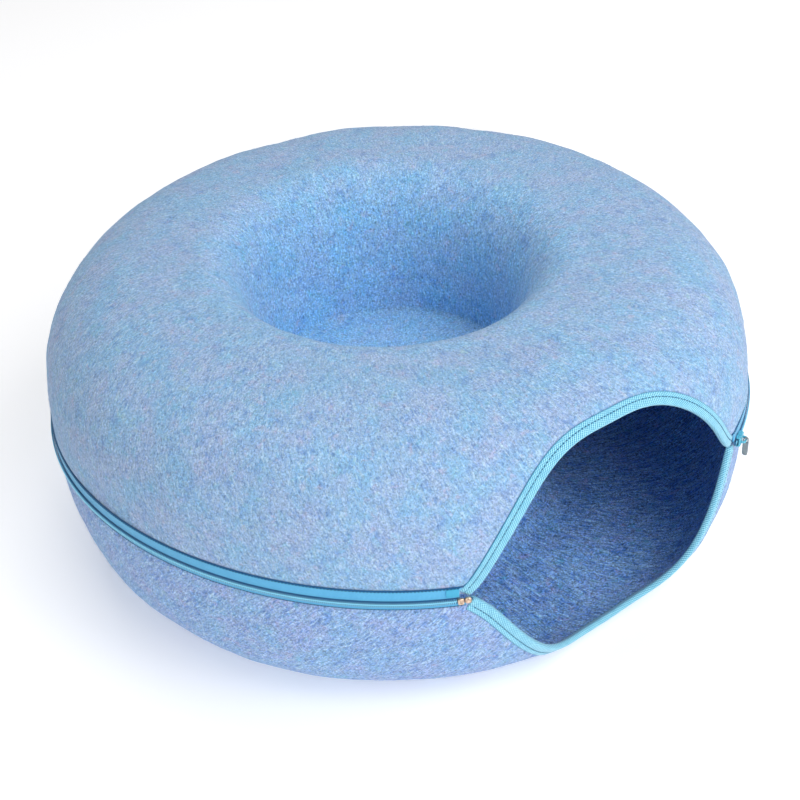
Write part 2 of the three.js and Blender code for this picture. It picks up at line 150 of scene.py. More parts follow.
# %% Sums on sockets
class Wire:
    """An output socket of a finish's nodes, which can be used in sums."""

    def __init__(self, finish, socket):
        self.finish, self.socket = finish, socket

    def math(self, operation, *values):
        return self.finish.node("ShaderNodeMath", {"operation": operation}, dict(enumerate(values)))

    def __add__(self, other):
        return self.math("ADD", self, other)

    def __mul__(self, other):
        return self.math("MULTIPLY", self, other)

    def __sub__(self, other):
        return self.math("SUBTRACT", self, other)

    def __rsub__(self, other):
        return self.math("SUBTRACT", other, self)

    __radd__, __rmul__ = __add__, __mul__

    def sine(self):
        return self.math("SINE", self)

    def between(self, low, high):
        """0 below low, 1 above high and a smooth slope between."""
        settings = {"interpolation_type": "SMOOTHSTEP"}
        return self.finish.node("ShaderNodeMapRange", settings, {0: self, 1: low, 2: high})


class Finish:
    """A material that is being made, with its Principled shader at hand."""

    def __init__(self, name, **sockets):
        self.material = bpy.data.materials.new(name)
        self.material.use_nodes = True
        self.tree = self.material.node_tree
        self.shader = self.tree.nodes["Principled BSDF"]
        for socket, value in sockets.items():
            self.feed(socket.replace("_", " ").title(), value)

    def put(self, socket, value):
        if isinstance(value, Wire):
            self.tree.links.new(value.socket, socket)
        else:
            socket.default_value = value

    def feed(self, socket, value):
        self.put(self.shader.inputs[socket], value)

    def node(self, kind, settings=None, sockets=None, output=0):
        made = self.tree.nodes.new(kind)
        for name, value in (settings or {}).items():
            setattr(made, name, value)
        for name, value in (sockets or {}).items():
            self.put(made.inputs[name], value)
        return Wire(self, made.outputs[output])

    def mix(self, factor, a, b):
        """Colour a where factor is 0 and colour b where it is 1."""
        return self.node("ShaderNodeMix", {"data_type": "RGBA"}, {0: factor, 6: a, 7: b}, 2)

    def stretched(self, vector, by):
        """A vector whose three parts are multiplied by three numbers."""
        return self.node("ShaderNodeVectorMath", {"operation": "MULTIPLY"}, {0: vector, 1: by})

    def scaled(self, tint, by):
        """A colour made lighter or darker by a number that may vary."""
        return self.node("ShaderNodeVectorMath", {"operation": "SCALE"}, {0: tint, "Scale": by})

    def noise(self, vector, scale, detail=2.0, roughness=0.5, distortion=0.0):
        sockets = {"Vector": vector, "Scale": scale, "Detail": detail,
                   "Roughness": roughness, "Distortion": distortion}
        return self.node("ShaderNodeTexNoise", {}, sockets)

    def bump(self, height, strength, distance):
        sockets = {"Strength": strength, "Distance": distance, "Height": height}
        self.feed("Normal", self.node("ShaderNodeBump", {}, sockets))

    def object_place(self):
        return self.node("ShaderNodeTexCoord", {}, {}, "Object")

    def attribute(self, name, output="Fac"):
        return self.node("ShaderNodeAttribute", {"attribute_name": name}, {}, output)

    def uv(self):
        """The two parts of the piece's own UV map."""
        both = self.node("ShaderNodeUVMap", {"uv_map": "cloth"}, {}, "UV")
        split = self.tree.nodes.new("ShaderNodeSeparateXYZ")
        self.put(split.inputs[0], both)
        return Wire(self, split.outputs[0]), Wire(self, split.outputs[1])


def colour(hexadecimal):
    """Linear red, green, blue and alpha of a colour written as six hexadecimal digits."""
    shares = np.array([int(hexadecimal[i:i + 2], 16) for i in (0, 2, 4)]) / 255
    linear = np.where(shares <= 0.04045, shares / 12.92, ((shares + 0.055) / 1.055) ** 2.4)
    return (*linear.tolist(), 1.0)


# %% [markdown]
# Wool felt is made of fibres of several dyes pressed together, so its colour is never
# even: broad clouds where one dye gathers, blotches as wide as a finger, and short
# strokes one fibre wide. Each scale is a noise of its own, and the noises choose
# between the dyes, layer on layer. The strokes lie along the way the mould has pulled
# the felt, which the attribute "lay" holds: it unrolls the ring, so a noise squeezed
# along its third part makes strokes that run up the walls. The mould has pulled the
# tunnel's side most, so the attribute "drawn" raises the contrast there. Light that
# falls into the tunnel or the well meets blue felt again and again and comes back
# bluer, so the felt's colour is multiplied there by the attribute "glow".

# %% Felt
FELT_DYES = {
    "upper": {"sky": "86b4d8", "lilac": "9ab0d4", "pale": "b4cfe2", "deep": "5e88c4",
              "teal": "74b6d0", "rose": "b8acc6", "moss": "9ec4c4"},
    "lower": {"sky": "86aed6", "lilac": "94a7d3", "pale": "aecbe4", "deep": "5480c4",
              "teal": "70b2d0", "rose": "a8a2c8", "moss": "92bcc4"},
}
FELT_CONTRAST = {"upper": 1.0, "lower": 1.35}
DRAWN_CONTRAST = 1.1
GRAIN_AND_SHADE_CONTRAST = 1.8
# scale, detail, roughness and distortion of each noise
FELT_NOISES = {"clouds": (32, 3, 0.55, 0.0), "blots": (85, 3, 0.6, 0.5),
               "tints": (120, 3, 0.6, 0.5), "moss": (150, 2, 0.6, 1.0),
               "strokes": (640, 2, 0.6, 0.8), "wisps": (480, 2, 0.6, 1.6),
               "grain": (640, 2, 0.7, 0.8)}
SQUEEZED = {"strokes": (1.0, 1.0, 0.4), "wisps": (1.0, 1.0, 0.3)}
# dye, noise, whether its high or its low parts take the dye, from, to and share there
FELT_LAYERS = [("lilac", "clouds", "high", 0.32, 0.68, 1.0),
               ("deep", "blots", "high", 0.52, 0.72, 0.5),
               ("teal", "tints", "high", 0.56, 0.72, 0.45),
               ("rose", "tints", "low", 0.56, 0.72, 0.45),
               ("moss", "moss", "high", 0.6, 0.74, 0.5),
               ("deep", "strokes", "low", 0.48, 0.66, 0.6),
               ("pale", "wisps", "high", 0.5, 0.66, 0.6)]
EVEN_NOISES = ("clouds", "moss")
FELT_RELIEF = {"grain": 0.4, "strokes": 0.3, "wisps": 0.3}
FELT_RELIEF_DEPTH = 0.8 * MM


def felt(half_name, dyes):
    """Melange felt, dull, with a soft sheen. Each layer mixes a dye in by its share
    times the slope of its noise, and times the contrast unless its noise is even."""
    made = Finish(f"{half_name}_felt_finish", roughness=0.95, sheen_weight=0.15, sheen_roughness=0.6)
    made.feed("Specular IOR Level", 0.12)
    contrast = made.attribute("drawn") * DRAWN_CONTRAST + FELT_CONTRAST[half_name]
    here, lay = made.object_place(), made.attribute("lay", "Vector")
    noises = {}
    for key, numbers in FELT_NOISES.items():
        where = made.stretched(lay, SQUEEZED[key]) if key in SQUEEZED else here
        noises[key] = made.noise(where, *numbers)
    base = colour(dyes["sky"])
    for dye, key, parts, low, high, share in FELT_LAYERS:
        noise = noises[key] if parts == "high" else 1 - noises[key]
        amount = noise.between(low, high) * share
        amount = amount if key in EVEN_NOISES else amount * contrast
        base = made.mix(amount, base, colour(dyes[dye]))
    # The grain makes the colour lighter and darker evenly in red, green and blue: partly the fibres'
    # own tone, partly painted fine shade between the fibres.
    base = made.scaled(base, (noises["grain"] - 0.5) * (contrast * GRAIN_AND_SHADE_CONTRAST) + 1.0)
    made.feed("Base Color", made.stretched(base, made.attribute("glow", "Vector")))
    relief = sum(noises[key] * share for key, share in FELT_RELIEF.items())
    made.bump(relief, 0.6, FELT_RELIEF_DEPTH)
    return made.material


felt_finishes = {key: felt(key, dyes) for key, dyes in FELT_DYES.items()}
print(len(felt_finishes), "felts of", len(FELT_DYES["upper"]), "dyes each")

# %% [markdown]
# Loose fibres stand a little off the felt and catch the light. Each carries a number
# of its own, from 0 to 1, in the attribute "dye", and a ramp turns it into one of the
# felt's dyes. The trims are polyester: the binding has a fine twill, the zip's tapes a
# fine rib, the coil is nylon, and the stops and the slider are metal.


# %% Fibres, trims and metals
FIBRE_RAMP = [("sky", 0.0, 0.5), ("pale", 0.5, 0.8), ("white", 0.9, 1.0)]
FIBRE_WHITE = "e9eef8"
THREAD_SLANT, THREAD_COUNT = 0.35, 1.3
RIB_HEIGHT, THREAD_HEIGHT = 0.6, 0.4
HOLLOWS = (0.2, 0.75)
WORN_NOISE, WORN_PARTS, WORN_SHARE = (160, 3, 0.6), (0.35, 0.75), 0.3
WEAVE_DEPTH = 0.25 * MM
MARK_PARTS, MARK_DEPTH = (0.4, 0.8), 0.1 * MM


def fibre(half_name, dyes):
    """One dye for each fibre, from its own random number."""
    made = Finish(f"{half_name}_fibre_finish", roughness=0.8, sheen_weight=0.3)
    own = made.attribute("dye")
    base = colour(dyes["deep"])
    for key, low, high in FIBRE_RAMP:
        base = made.mix(own.between(low, high), base, colour(dyes.get(key, FIBRE_WHITE)))
    made.feed("Base Color", base)
    return made.material


def woven(name, tint, shade, dark, pitch, slant, roughness=0.7):
    """Ribs of a pitch in metres that run across the tape, slanted by a share, with
    threads between them. Shade is the colour in the hollows, and dark the colour of the
    painted shade where the attribute "dark" is 1: along a seam's groove, beside the coil
    and along the edges of the binding and the tape where they meet the felt."""
    made = Finish(name, roughness=roughness, sheen_weight=0.3)
    made.feed("Specular IOR Level", 0.3)
    along, across = made.uv()
    turns = 2 * np.pi / pitch
    ribs = ((along + across * slant) * turns).sine() * 0.5 + 0.5
    threads = ((along * THREAD_SLANT - across) * (turns * THREAD_COUNT)).sine() * 0.5 + 0.5
    height = ribs * RIB_HEIGHT + threads * THREAD_HEIGHT
    worn = made.noise(made.object_place(), *WORN_NOISE)
    base = made.mix(height.between(*HOLLOWS), colour(shade), colour(tint))
    base = made.mix(worn.between(*WORN_PARTS) * WORN_SHARE, base, colour(shade))
    # Painted shade: the colour turns to the dark one where the attribute "dark" is 1.
    made.feed("Base Color", made.mix(made.attribute("dark"), base, colour(dark)))
    made.bump(height, 0.5, WEAVE_DEPTH)
    return made.material


def plain(name, tint, roughness, metallic=0.0, marks=0.25, coat=0.0, scale=900, dark_share=0.6):
    """An even colour whose roughness and tone change a little over the surface: marks
    is how strongly it is marked, and a mark's colour is dark_share of the tint."""
    made = Finish(name, metallic=metallic, coat_weight=coat)
    marked = made.noise(made.object_place(), scale, 4, 0.65)
    dark = tuple(dark_share * part for part in colour(tint)[:3]) + (1.0,)
    made.feed("Base Color", made.mix(marked.between(*MARK_PARTS) * marks, colour(tint), dark))
    made.feed("Roughness", marked * 0.3 + (roughness - 0.15))
    made.bump(marked, 0.25, MARK_DEPTH)
    return made.material


def with_painted_shade(name, tint, dark, roughness):
    """A colour that turns into a darker painted shade by the attribute "dark"."""
    made = Finish(name, roughness=roughness)
    made.feed("Base Color", made.mix(made.attribute("dark"), colour(tint), colour(dark)))
    return made.material


fibre_finishes = {key: fibre(key, dyes) for key, dyes in FELT_DYES.items()}
# The binding's third colour is its painted shade.
binding_finish = woven("binding_finish", "a8e6f4", "4198c2", "2a80a8", 2.0 * MM, 0.8)
# The tape's third colour is its painted shade.
tape_finish = woven("tape_finish", "66c0ea", "459fd2", "0e5a8c", 0.9 * MM, 0.0)
tape_end_finish = plain("tape_end_finish", "3aa8cf", 0.45)
# The coil's dark colour is painted shade at the feet of its bars.
coil_finish = with_painted_shade("coil_finish", "9ae6ff", "1670a8", 0.35)
thread_finish = plain("thread_finish", "155a80", 0.7)
stop_finish = plain("stop_finish", "e6c8ae", 0.35, metallic=0.9, marks=1.0, scale=460,
                    dark_share=0.12)
slider_finish = plain("slider_finish", "5cc0dc", 0.35, marks=0.7, coat=0.4, scale=420,
                      dark_share=0.3)
pull_finish = plain("pull_finish", "8f989c", 0.4, metallic=0.8, marks=0.5)
floor_finish = Finish("floor_finish", roughness=0.9, emission_strength=FLOOR_LIGHT)
floor_finish.feed("Base Color", FLOOR_COLOUR)
floor_finish.feed("Emission Color", WHITE)
print(len(bpy.data.materials), "materials, with those that came with the model")

# %% [markdown]
# Almost every piece here is a profile carried along a path, which gives a grid of
# points: one direction runs along the path, the other round the profile. One helper
# turns such a grid into a closed mesh. It joins the grid to itself where it closes,
# and otherwise caps its two ends: a section is closed straight across, and a skin that
# shrinks to a point ends in one vertex.


# %% Grids into meshes
def grid_faces(along, across, close_along, close_across):
    """Corner numbers of the four-sided faces of a grid, and the same corners without
    the wrap, for the UV map."""
    a, c = np.meshgrid(np.arange(along - (not close_along)),
                       np.arange(across - (not close_across)), indexing="ij")
    corners = np.stack([np.stack([a, c], -1), np.stack([a + 1, c], -1),
                        np.stack([a + 1, c + 1], -1), np.stack([a, c + 1], -1)], axis=2)
    corners = corners.reshape(-1, 4, 2)
    return (corners[..., 0] % along) * across + corners[..., 1] % across, corners


def strip_cap(across, offset):
    """Faces that close a section straight across, from corner k to corner n - 1 - k."""
    k = np.arange(across // 2 - 1)
    return np.stack([k, k + 1, across - 2 - k, across - 1 - k], axis=1) + offset


def volume_of(points, faces):
    """Six times the volume inside: each face's first corner dotted with the cross
    product of its diagonals, summed."""
    a, b, c, d = (points[faces[:, i]] for i in range(4))
    return float((a * np.cross(c - a, d - b)).sum())


def make_piece(name, points, faces, finish, uv=None, attributes=None):
    """A mesh object from points (n, 3) in metres and faces (m, 4); a face whose first or
    last two corners are the same is a triangle. uv is one pair for each face corner."""
    points = np.asarray(points, float).reshape(-1, 3)
    if volume_of(points, faces) < 0:
        faces = faces[:, ::-1]
        uv = None if uv is None else uv[:, ::-1]
    kept = np.ones(faces.shape, bool)
    kept[:, 3] = faces[:, 2] != faces[:, 3]
    kept[:, 0] = faces[:, 0] != faces[:, 1]
    sizes = kept.sum(axis=1)
    starts = np.cumsum(sizes) - sizes
    mesh = bpy.data.meshes.new(name)
    mesh.vertices.add(len(points))
    mesh.vertices.foreach_set("co", points.astype(np.float32).ravel())
    mesh.loops.add(int(sizes.sum()))
    mesh.loops.foreach_set("vertex_index", faces[kept].astype(np.int32))
    mesh.polygons.add(len(faces))
    mesh.polygons.foreach_set("loop_start", starts.astype(np.int32))
    mesh.polygons.foreach_set("loop_total", sizes.astype(np.int32))
    mesh.polygons.foreach_set("use_smooth", np.ones(len(faces), bool))
    mesh.update(calc_edges=True)
    if uv is not None:
        layer = mesh.uv_layers.new(name="cloth")
        layer.data.foreach_set("uv", uv[kept].astype(np.float32).ravel())
    for key, values in (attributes or {}).items():
        kind, field = ("FLOAT_VECTOR", "vector") if values.ndim == 2 else ("FLOAT", "value")
        stored = mesh.attributes.new(key, kind, "POINT")
        stored.data.foreach_set(field, values.astype(np.float32).ravel())
    mesh.materials.append(finish)
    piece = bpy.data.objects.new(name, mesh)
    bpy.context.scene.collection.objects.link(piece)
    print(f"{name}: {len(points)} points, {int((sizes - 2).sum())} triangles")
    return piece


def swept_piece(name, points, finish, close_along=False, lengths=None, attributes=None):
    """A closed section (across) carried along a path (along) from a grid of points
    (along, across, 3). lengths is (along, across) arrays for the UV map, in metres."""
    along, across = points.shape[:2]
    faces, corners = grid_faces(along, across, close_along, True)
    uv = np.zeros((*faces.shape, 2))
    if lengths is not None:
        u, v = lengths
        uv = np.stack([u[corners[..., 0]], v[corners[..., 1]]], axis=-1)
    if not close_along:
        last = (along - 1) * across
        caps = np.concatenate([strip_cap(across, 0)[:, ::-1], strip_cap(across, last)])
        faces = np.concatenate([faces[:, ::-1], caps])
        uv = np.concatenate([uv[:, ::-1], np.zeros((*caps.shape, 2))])
    return make_piece(name, points, faces, finish, uv, attributes)


# %% [markdown]
# The felt halves follow the CAD model's own formulas, so the dressed bed has exactly
# its shape. A half's section is a curve: it rises from the zip line as one quarter of
# a squared-off ellipse to the crown, goes down the side of the well as a second one,
# and runs flat to the middle. Along the curve the helper table keeps the radius, the
# height and the outward direction, and any point of the bed is then named by three
# numbers: an angle round the ring, a length along the section and a lift off the felt.

# %% The section of a half
RING_RADIUS = 300.0
RING_AXIS_Y = -9.1
WELL_FLOOR_RADIUS = 108.0
WELL_SQUARENESS = 2.6
FELT_THICKNESS = 4.0
ZIP_LINE_HEIGHT = 120.6
SEAM_SAG = (14.2, -197.2)
SEAM_WAVE = (7.9, 28.2)
SEAM_LIFT, SEAM_LIFT_ANGLE, SEAM_LIFT_FADE = 28.5, -63.7, 39.7
CROWN_LEAN = (5.5, 138.1)
WELL_SHIFT = (7.7, 170.5)
SECTION_STEPS = 160
SECTION_READINGS = ("r", "z", "nr", "nz", "seam", "crown", "shift")


def section_table(sign, height, outer, inner, squareness, floor_level, doorway):
    """The section as arrays over its length s, in mm. With t from 0 to 90 degrees the
    arch is r = outer + (ring - outer) cos t ^ (2/n), z = height sin t ^ (2/n); the well's
    wall is the same with the well's sizes; seam, crown and shift say how much of the
    sag, the lean and the well's shift a point takes."""
    t = np.linspace(0, np.pi / 2, SECTION_STEPS + 1)
    share = np.linspace(0, 1, SECTION_STEPS + 1)
    cosine, sine = np.maximum(np.cos(t), 0), np.sin(t)
    arch_z = height * sine ** (2 / squareness)
    arch_r = outer + (RING_RADIUS - outer) * cosine ** (2 / squareness)
    wall_r = inner - (inner - WELL_FLOOR_RADIUS) * sine ** (2 / WELL_SQUARENESS)
    wall_z = floor_level + (height - floor_level) * cosine ** (2 / WELL_SQUARENESS)
    first = 0 if outer > inner else 1
    none, full = np.zeros(SECTION_STEPS + 1), np.ones(1)
    table = {
        "r": np.concatenate([arch_r, wall_r[first:], [0]]),
        "z": np.concatenate([arch_z, wall_z[first:], [floor_level]]),
        "seam": np.concatenate([1 - arch_z / height, none[first:], [0]]),
        "crown": np.concatenate([arch_z / height, 1 - share[first:], [0]]),
        "shift": np.concatenate([none, share[first:], full]),
    }
    r, z = table["r"], table["z"]
    table["s"] = np.concatenate([[0], np.cumsum(np.hypot(np.diff(r), np.diff(z)))])
    before, after = np.r_[0, :len(r) - 1], np.r_[1:len(r), len(r) - 1]
    span = np.hypot(r[after] - r[before], z[after] - z[before])
    table["nr"] = (z[after] - z[before]) / span
    table["nz"] = -(r[after] - r[before]) / span
    table["nr"][-1], table["nz"][-1] = 0, 1
    table.update(sign=sign, doorway=doorway, crown_at=table["s"][SECTION_STEPS],
                 floor_at=table["s"][-2], end_at=table["s"][-1])
    return table


UPPER_CUT = {"rise": 111.1, "shape": 2.93, "bell": 1.34, "slant": 0.14, "skew": 0.0,
             "left": 0.99, "right": 0.99, "flares": (0.5, 0.4), "fades": (9.6, 15.0)}
LOWER_CUT = {"rise": 114.0, "shape": 2.82, "bell": 1.52, "slant": -0.01, "skew": 0.075,
             "left": 0.98, "right": 0.99, "flares": (0.49, 1.88), "fades": (12.0, 60.0)}
upper = section_table(sign=1, height=134.0, outer=165.5, inner=165.5, squareness=2.92,
                      floor_level=4.0, doorway=UPPER_CUT)
lower = section_table(sign=-1, height=ZIP_LINE_HEIGHT, outer=172.0, inner=156.0,
                      squareness=3.24, floor_level=4.5, doorway=LOWER_CUT)
HALVES = {"upper": upper, "lower": lower}


def settle(part, angle, order=1):
    """A soft ring's settling: amount times the cosine of the angle from its direction."""
    return part[0] * np.cos(np.radians((angle - part[1]) * order))


def seam_height(angle):
    """How far the zip line is off its level: a sag, a wave, and a pull by the doorway's
    right corner that fades as exp(-(turn / fade)^2)."""
    turn = (angle - SEAM_LIFT_ANGLE + 180) % 360 - 180
    pull = SEAM_LIFT * np.exp(-(turn / SEAM_LIFT_FADE) ** 2)
    return settle(SEAM_SAG, angle) + settle(SEAM_WAVE, angle, 2) + pull


def place(half, angle, s, lift=0.0):
    """Points in metres at angles (degrees), lengths s and lifts (mm) that broadcast."""
    angle, s, lift = np.broadcast_arrays(np.asarray(angle, float), s, lift)
    read = {key: np.interp(s, half["s"], half[key]) for key in SECTION_READINGS}
    size = np.hypot(read["nr"], read["nz"])
    radius = read["r"] + lift * read["nr"] / size
    lean = read["crown"] * settle(CROWN_LEAN, angle) if half["sign"] > 0 else 0.0
    sag = read["seam"] * seam_height(angle)
    z = ZIP_LINE_HEIGHT + half["sign"] * (read["z"] + lift * read["nz"] / size) + lean + sag
    turn, away = np.radians(angle), np.radians(WELL_SHIFT[1])
    x = radius * np.cos(turn) + read["shift"] * WELL_SHIFT[0] * np.cos(away)
    y = radius * np.sin(turn) + read["shift"] * WELL_SHIFT[0] * np.sin(away) + RING_AXIS_Y
    return np.stack([x, y, z], axis=-1) * MM


def place_across(angle, across, lift):
    """Points at signed distances across the zip line, positive upwards."""
    across = np.asarray(across, float)
    above = place(upper, angle, np.maximum(across, 0), lift)
    below = place(lower, angle, np.maximum(-across, 0), lift)
    return np.where((across >= 0)[..., None] if across.ndim else across >= 0, above, below)


print("section lengths in mm:", round(upper["end_at"], 1), round(lower["end_at"], 1))

# %% [markdown]
# The doorway is an arch cut twice, once upwards and once downwards from the zip line,
# as a line drawn on the curved felt. Both arches share a formula, but the lower one is
# lopsided, and the corners flare outwards. The edge is divided evenly by length.
# At each station the direction that leads from the cut into the felt is kept, because
# the binding, its stitches and the felt's own edge all lie at distances from the cut.

# %% The doorway's edge
DOORWAY_CENTRE = -89.5
DOORWAY_HALF_ANGLE = 25.9
FINE_STEPS = 600


def doorway_edge(half, steps):
    """Stations along the cut: with u from -1 to 1 its length along the felt is
    rise (1 - |u| ^ shape) ^ (bell + slant u), at the angle
    centre + half angle (u + skew (1 - u u)), and towards each corner it turns outwards
    by its side's flare u u exp(-(s / fade)^2). It stops at u = -left and u = right,
    just short of the corners, where it would be too sharp to bind."""
    cut = half["doorway"]
    swing = np.sin(np.pi * (np.arange(FINE_STEPS + 1) / FINE_STEPS - 0.5))
    u = swing * np.where(swing < 0, cut["left"], cut["right"])
    s = cut["rise"] * (1 - np.abs(u) ** cut["shape"]) ** (cut["bell"] + cut["slant"] * u)
    left, right = (flare * np.exp(-(s / fade) ** 2)
                   for flare, fade in zip(cut["flares"], cut["fades"]))
    flare = np.where(u < 0, -left, right) * u * u
    angle = DOORWAY_CENTRE + DOORWAY_HALF_ANGLE * (u + cut["skew"] * (1 - u * u)) + flare
    radius = np.interp(s, half["s"], half["r"])
    step = np.hypot(radius[1:] * np.radians(np.diff(angle)), np.diff(s))
    length = np.concatenate([[0], np.cumsum(step)])
    even = np.linspace(0, length[-1], steps + 1)
    edge = {key: np.interp(even, length, values)
            for key, values in {"angle": angle, "s": s, "radius": radius}.items()}
    side = np.gradient(edge["angle"]) * np.radians(1) * edge["radius"]
    along = np.gradient(edge["s"])
    size = np.hypot(side, along)
    edge.update(side=-along / size, along=side / size, length=even)
    return edge


def step_in(edge, distance, clear):
    """Angles and lengths at a distance from the cut, into the felt, kept clear of the
    zip line."""
    angle = edge["angle"] + np.degrees(distance * edge["side"] / edge["radius"])
    return angle, np.maximum(edge["s"] + distance * edge["along"], clear)


for half_name, half in HALVES.items():
    print(half_name, "doorway edge:", round(doorway_edge(half, 100)["length"][-1]), "mm long")

# %% [markdown]
# Each felt half could be modelled by hand and given a Solidify modifier, but the felt's
# cut edges lie on curved lines, so both skins are worked out directly. A column starts
# in the middle of the inner skin, runs out to the felt's edge, rounds it and comes back
# over the outer skin. The columns go all the way round. Real felt isn't perfectly even:
# it swells softly beside a tape that is sewn down on it, and long low waves stay from
# the mould, so a lift of a fraction of a millimetre is added to the outer skin, and the
# felt is pinched where the binding is sewn through it.

# %% The felt halves
DOORWAY_COLUMNS = 140
SHOULDER_STEPS_MM = np.cumsum([1.2, 1.4, 1.7, 2.0, 2.4, 2.9, 3.5, 4.0])
RING_COLUMNS = 330
FELT_EDGE_INSET = 1.35
FELT_EDGE_FROM_ZIP_LINE = 3.0
EDGE_ROWS = np.array([0.3, 1.2, 3.0, 5.5, 8.0, 10.0, 11.5, 12.8, 14.2, 16.0, 18.5, 22.0, 26.0])
ARCH_ROWS, WELL_ROWS, FLOOR_ROWS = 34, 34, 11
INNER_EDGE_ROWS = np.array([0.3, 1.2, 4.0, 6.1, 8.5, 14.0, 26.0])
INNER_ARCH_ROWS, INNER_WELL_ROWS, INNER_FLOOR_ROWS = 20, 20, 6
WAVES = [{"height": 0.55, "wavelength": 0.11}, {"height": 0.16, "wavelength": 0.03}]
WAVE_COUNT, WAVE_SPREAD = 28, (0.7, 1.6)
PUFF_MM, PUFF_AT = 0.5, 3.0
HELD_DOWN, HELD_FADE = 0.9, 1.5
PINCH_MM = 0.5
EDGE_ROUND_MM = 0.5
POLE_RADIUS_MM = 1.5
FLAT_BASE = 20 * MM
LAY_RADIUS = 240.0
TUNNEL_TWIST, TUNNEL_STRETCH = 0.15, 0.4
TUNNEL_GLOW = np.array([0.78, 0.96, 1.08])
WELL_GLOW = np.array([0.92, 1.13, 1.17])
WELL_FADE, WELL_DRAWN = 60.0, 0.4
BINDING_WIDTH = 11.0
BINDING_INNER_WIDTH = 7.5
TAPE_WIDTH = {"upper": 13.0, "lower": 6.2}
FELT_TWIST = {"upper": 0.3, "lower": 0.8}
WAVE_SEED = {"upper": 11, "lower": 23}


def waves(points, wavelength, seed):
    """Smooth random waves: many cosines of random directions, near one wavelength in
    metres, added up and divided by the square root of half their number."""
    chance = np.random.default_rng(seed)
    heading = chance.normal(size=(WAVE_COUNT, 3))
    heading /= np.linalg.norm(heading, axis=1, keepdims=True)
    numbers = heading * 2 * np.pi / (wavelength * chance.uniform(*WAVE_SPREAD, (WAVE_COUNT, 1)))
    phases = chance.uniform(0, 2 * np.pi, WAVE_COUNT)
    return np.cos(points @ numbers.T + phases).sum(axis=-1) / np.sqrt(WAVE_COUNT / 2)


def felt_columns(half):
    """Angle of every column and the length s at which its felt begins."""
    edge = doorway_edge(half, DOORWAY_COLUMNS)
    angle, s = step_in(edge, FELT_EDGE_INSET, FELT_EDGE_FROM_ZIP_LINE)
    shoulder = np.degrees(SHOULDER_STEPS_MM / RING_RADIUS)
    first, last = angle[-1], angle[0] + 360
    ring = np.linspace(first + shoulder[-1], last - shoulder[-1], RING_COLUMNS + 1)
    rest = np.concatenate([first + shoulder[:-1], ring, last - shoulder[-2::-1]])
    level = np.full(len(rest), FELT_EDGE_FROM_ZIP_LINE)
    return np.concatenate([angle, rest]), np.concatenate([s, level])


def felt_rows(half, start, edge_rows, arch, well, floor):
    """Lengths s of a skin's rows for every column, (columns, rows): close together near
    the edge, then even to the crown, down the well and over its floor."""
    crown, bottom = half["crown_at"], half["floor_at"]
    near = start[:, None] + edge_rows
    share = np.linspace(0, 1, arch + 1)[1:]
    rise = near[:, -1:] + (crown - near[:, -1:]) * share
    rest = np.concatenate([np.linspace(crown, bottom, well + 1)[1:],
                           np.linspace(bottom, half["end_at"] - POLE_RADIUS_MM, floor + 1)[1:]])
    return np.concatenate([near, rise, np.broadcast_to(rest, (len(start), len(rest)))], axis=1)


def distance_to_doorway(half, angle, s):
    """How far points are from the cut, in mm, on the unrolled felt."""
    edge = doorway_edge(half, 120)
    turn = (angle - DOORWAY_CENTRE + 180) % 360 - 180
    sideways = np.radians(turn[..., None] - (edge["angle"] - DOORWAY_CENTRE)) * edge["radius"]
    return np.sqrt(sideways ** 2 + (s[..., None] - edge["s"]) ** 2).min(axis=-1)


def felt_lift(half_name, angle, s):
    """Lift of the outer skin in mm: low waves, a swelling beside binding and tape that
    fades as exp(-((gap - at) / at)^2), and a pinch under the binding."""
    half = HALVES[half_name]
    points = place(half, angle, s)
    lift = sum(wave["height"] * waves(points, wave["wavelength"], WAVE_SEED[half_name] + number)
               for number, wave in enumerate(WAVES))
    beside_binding = distance_to_doorway(half, angle, s) - BINDING_WIDTH
    for gap in (beside_binding, s - TAPE_WIDTH[half_name]):
        lift += PUFF_MM * np.exp(-((gap - PUFF_AT) / PUFF_AT) ** 2)
        lift *= 1 - HELD_DOWN * np.exp(-(np.maximum(gap, 0) / HELD_FADE) ** 2)
    pinch = PINCH_MM * (1 - np.clip(beside_binding / HELD_FADE, 0, 1))
    return lift * np.clip(points[..., 2] / FLAT_BASE, 0, 1) - pinch


def lay_of(angle, s, twist, stretch):
    """The felt unrolled: a point of a circle for the angle, and the length s times a
    share that is small where strokes are long. The circle turns by a twist times s, so
    that lines of one place on it run aslant."""
    turn = np.radians(angle) + twist * s / LAY_RADIUS
    x, y = LAY_RADIUS * np.cos(turn), LAY_RADIUS * np.sin(turn)
    return np.stack([x, y, s * stretch], axis=-1) * MM


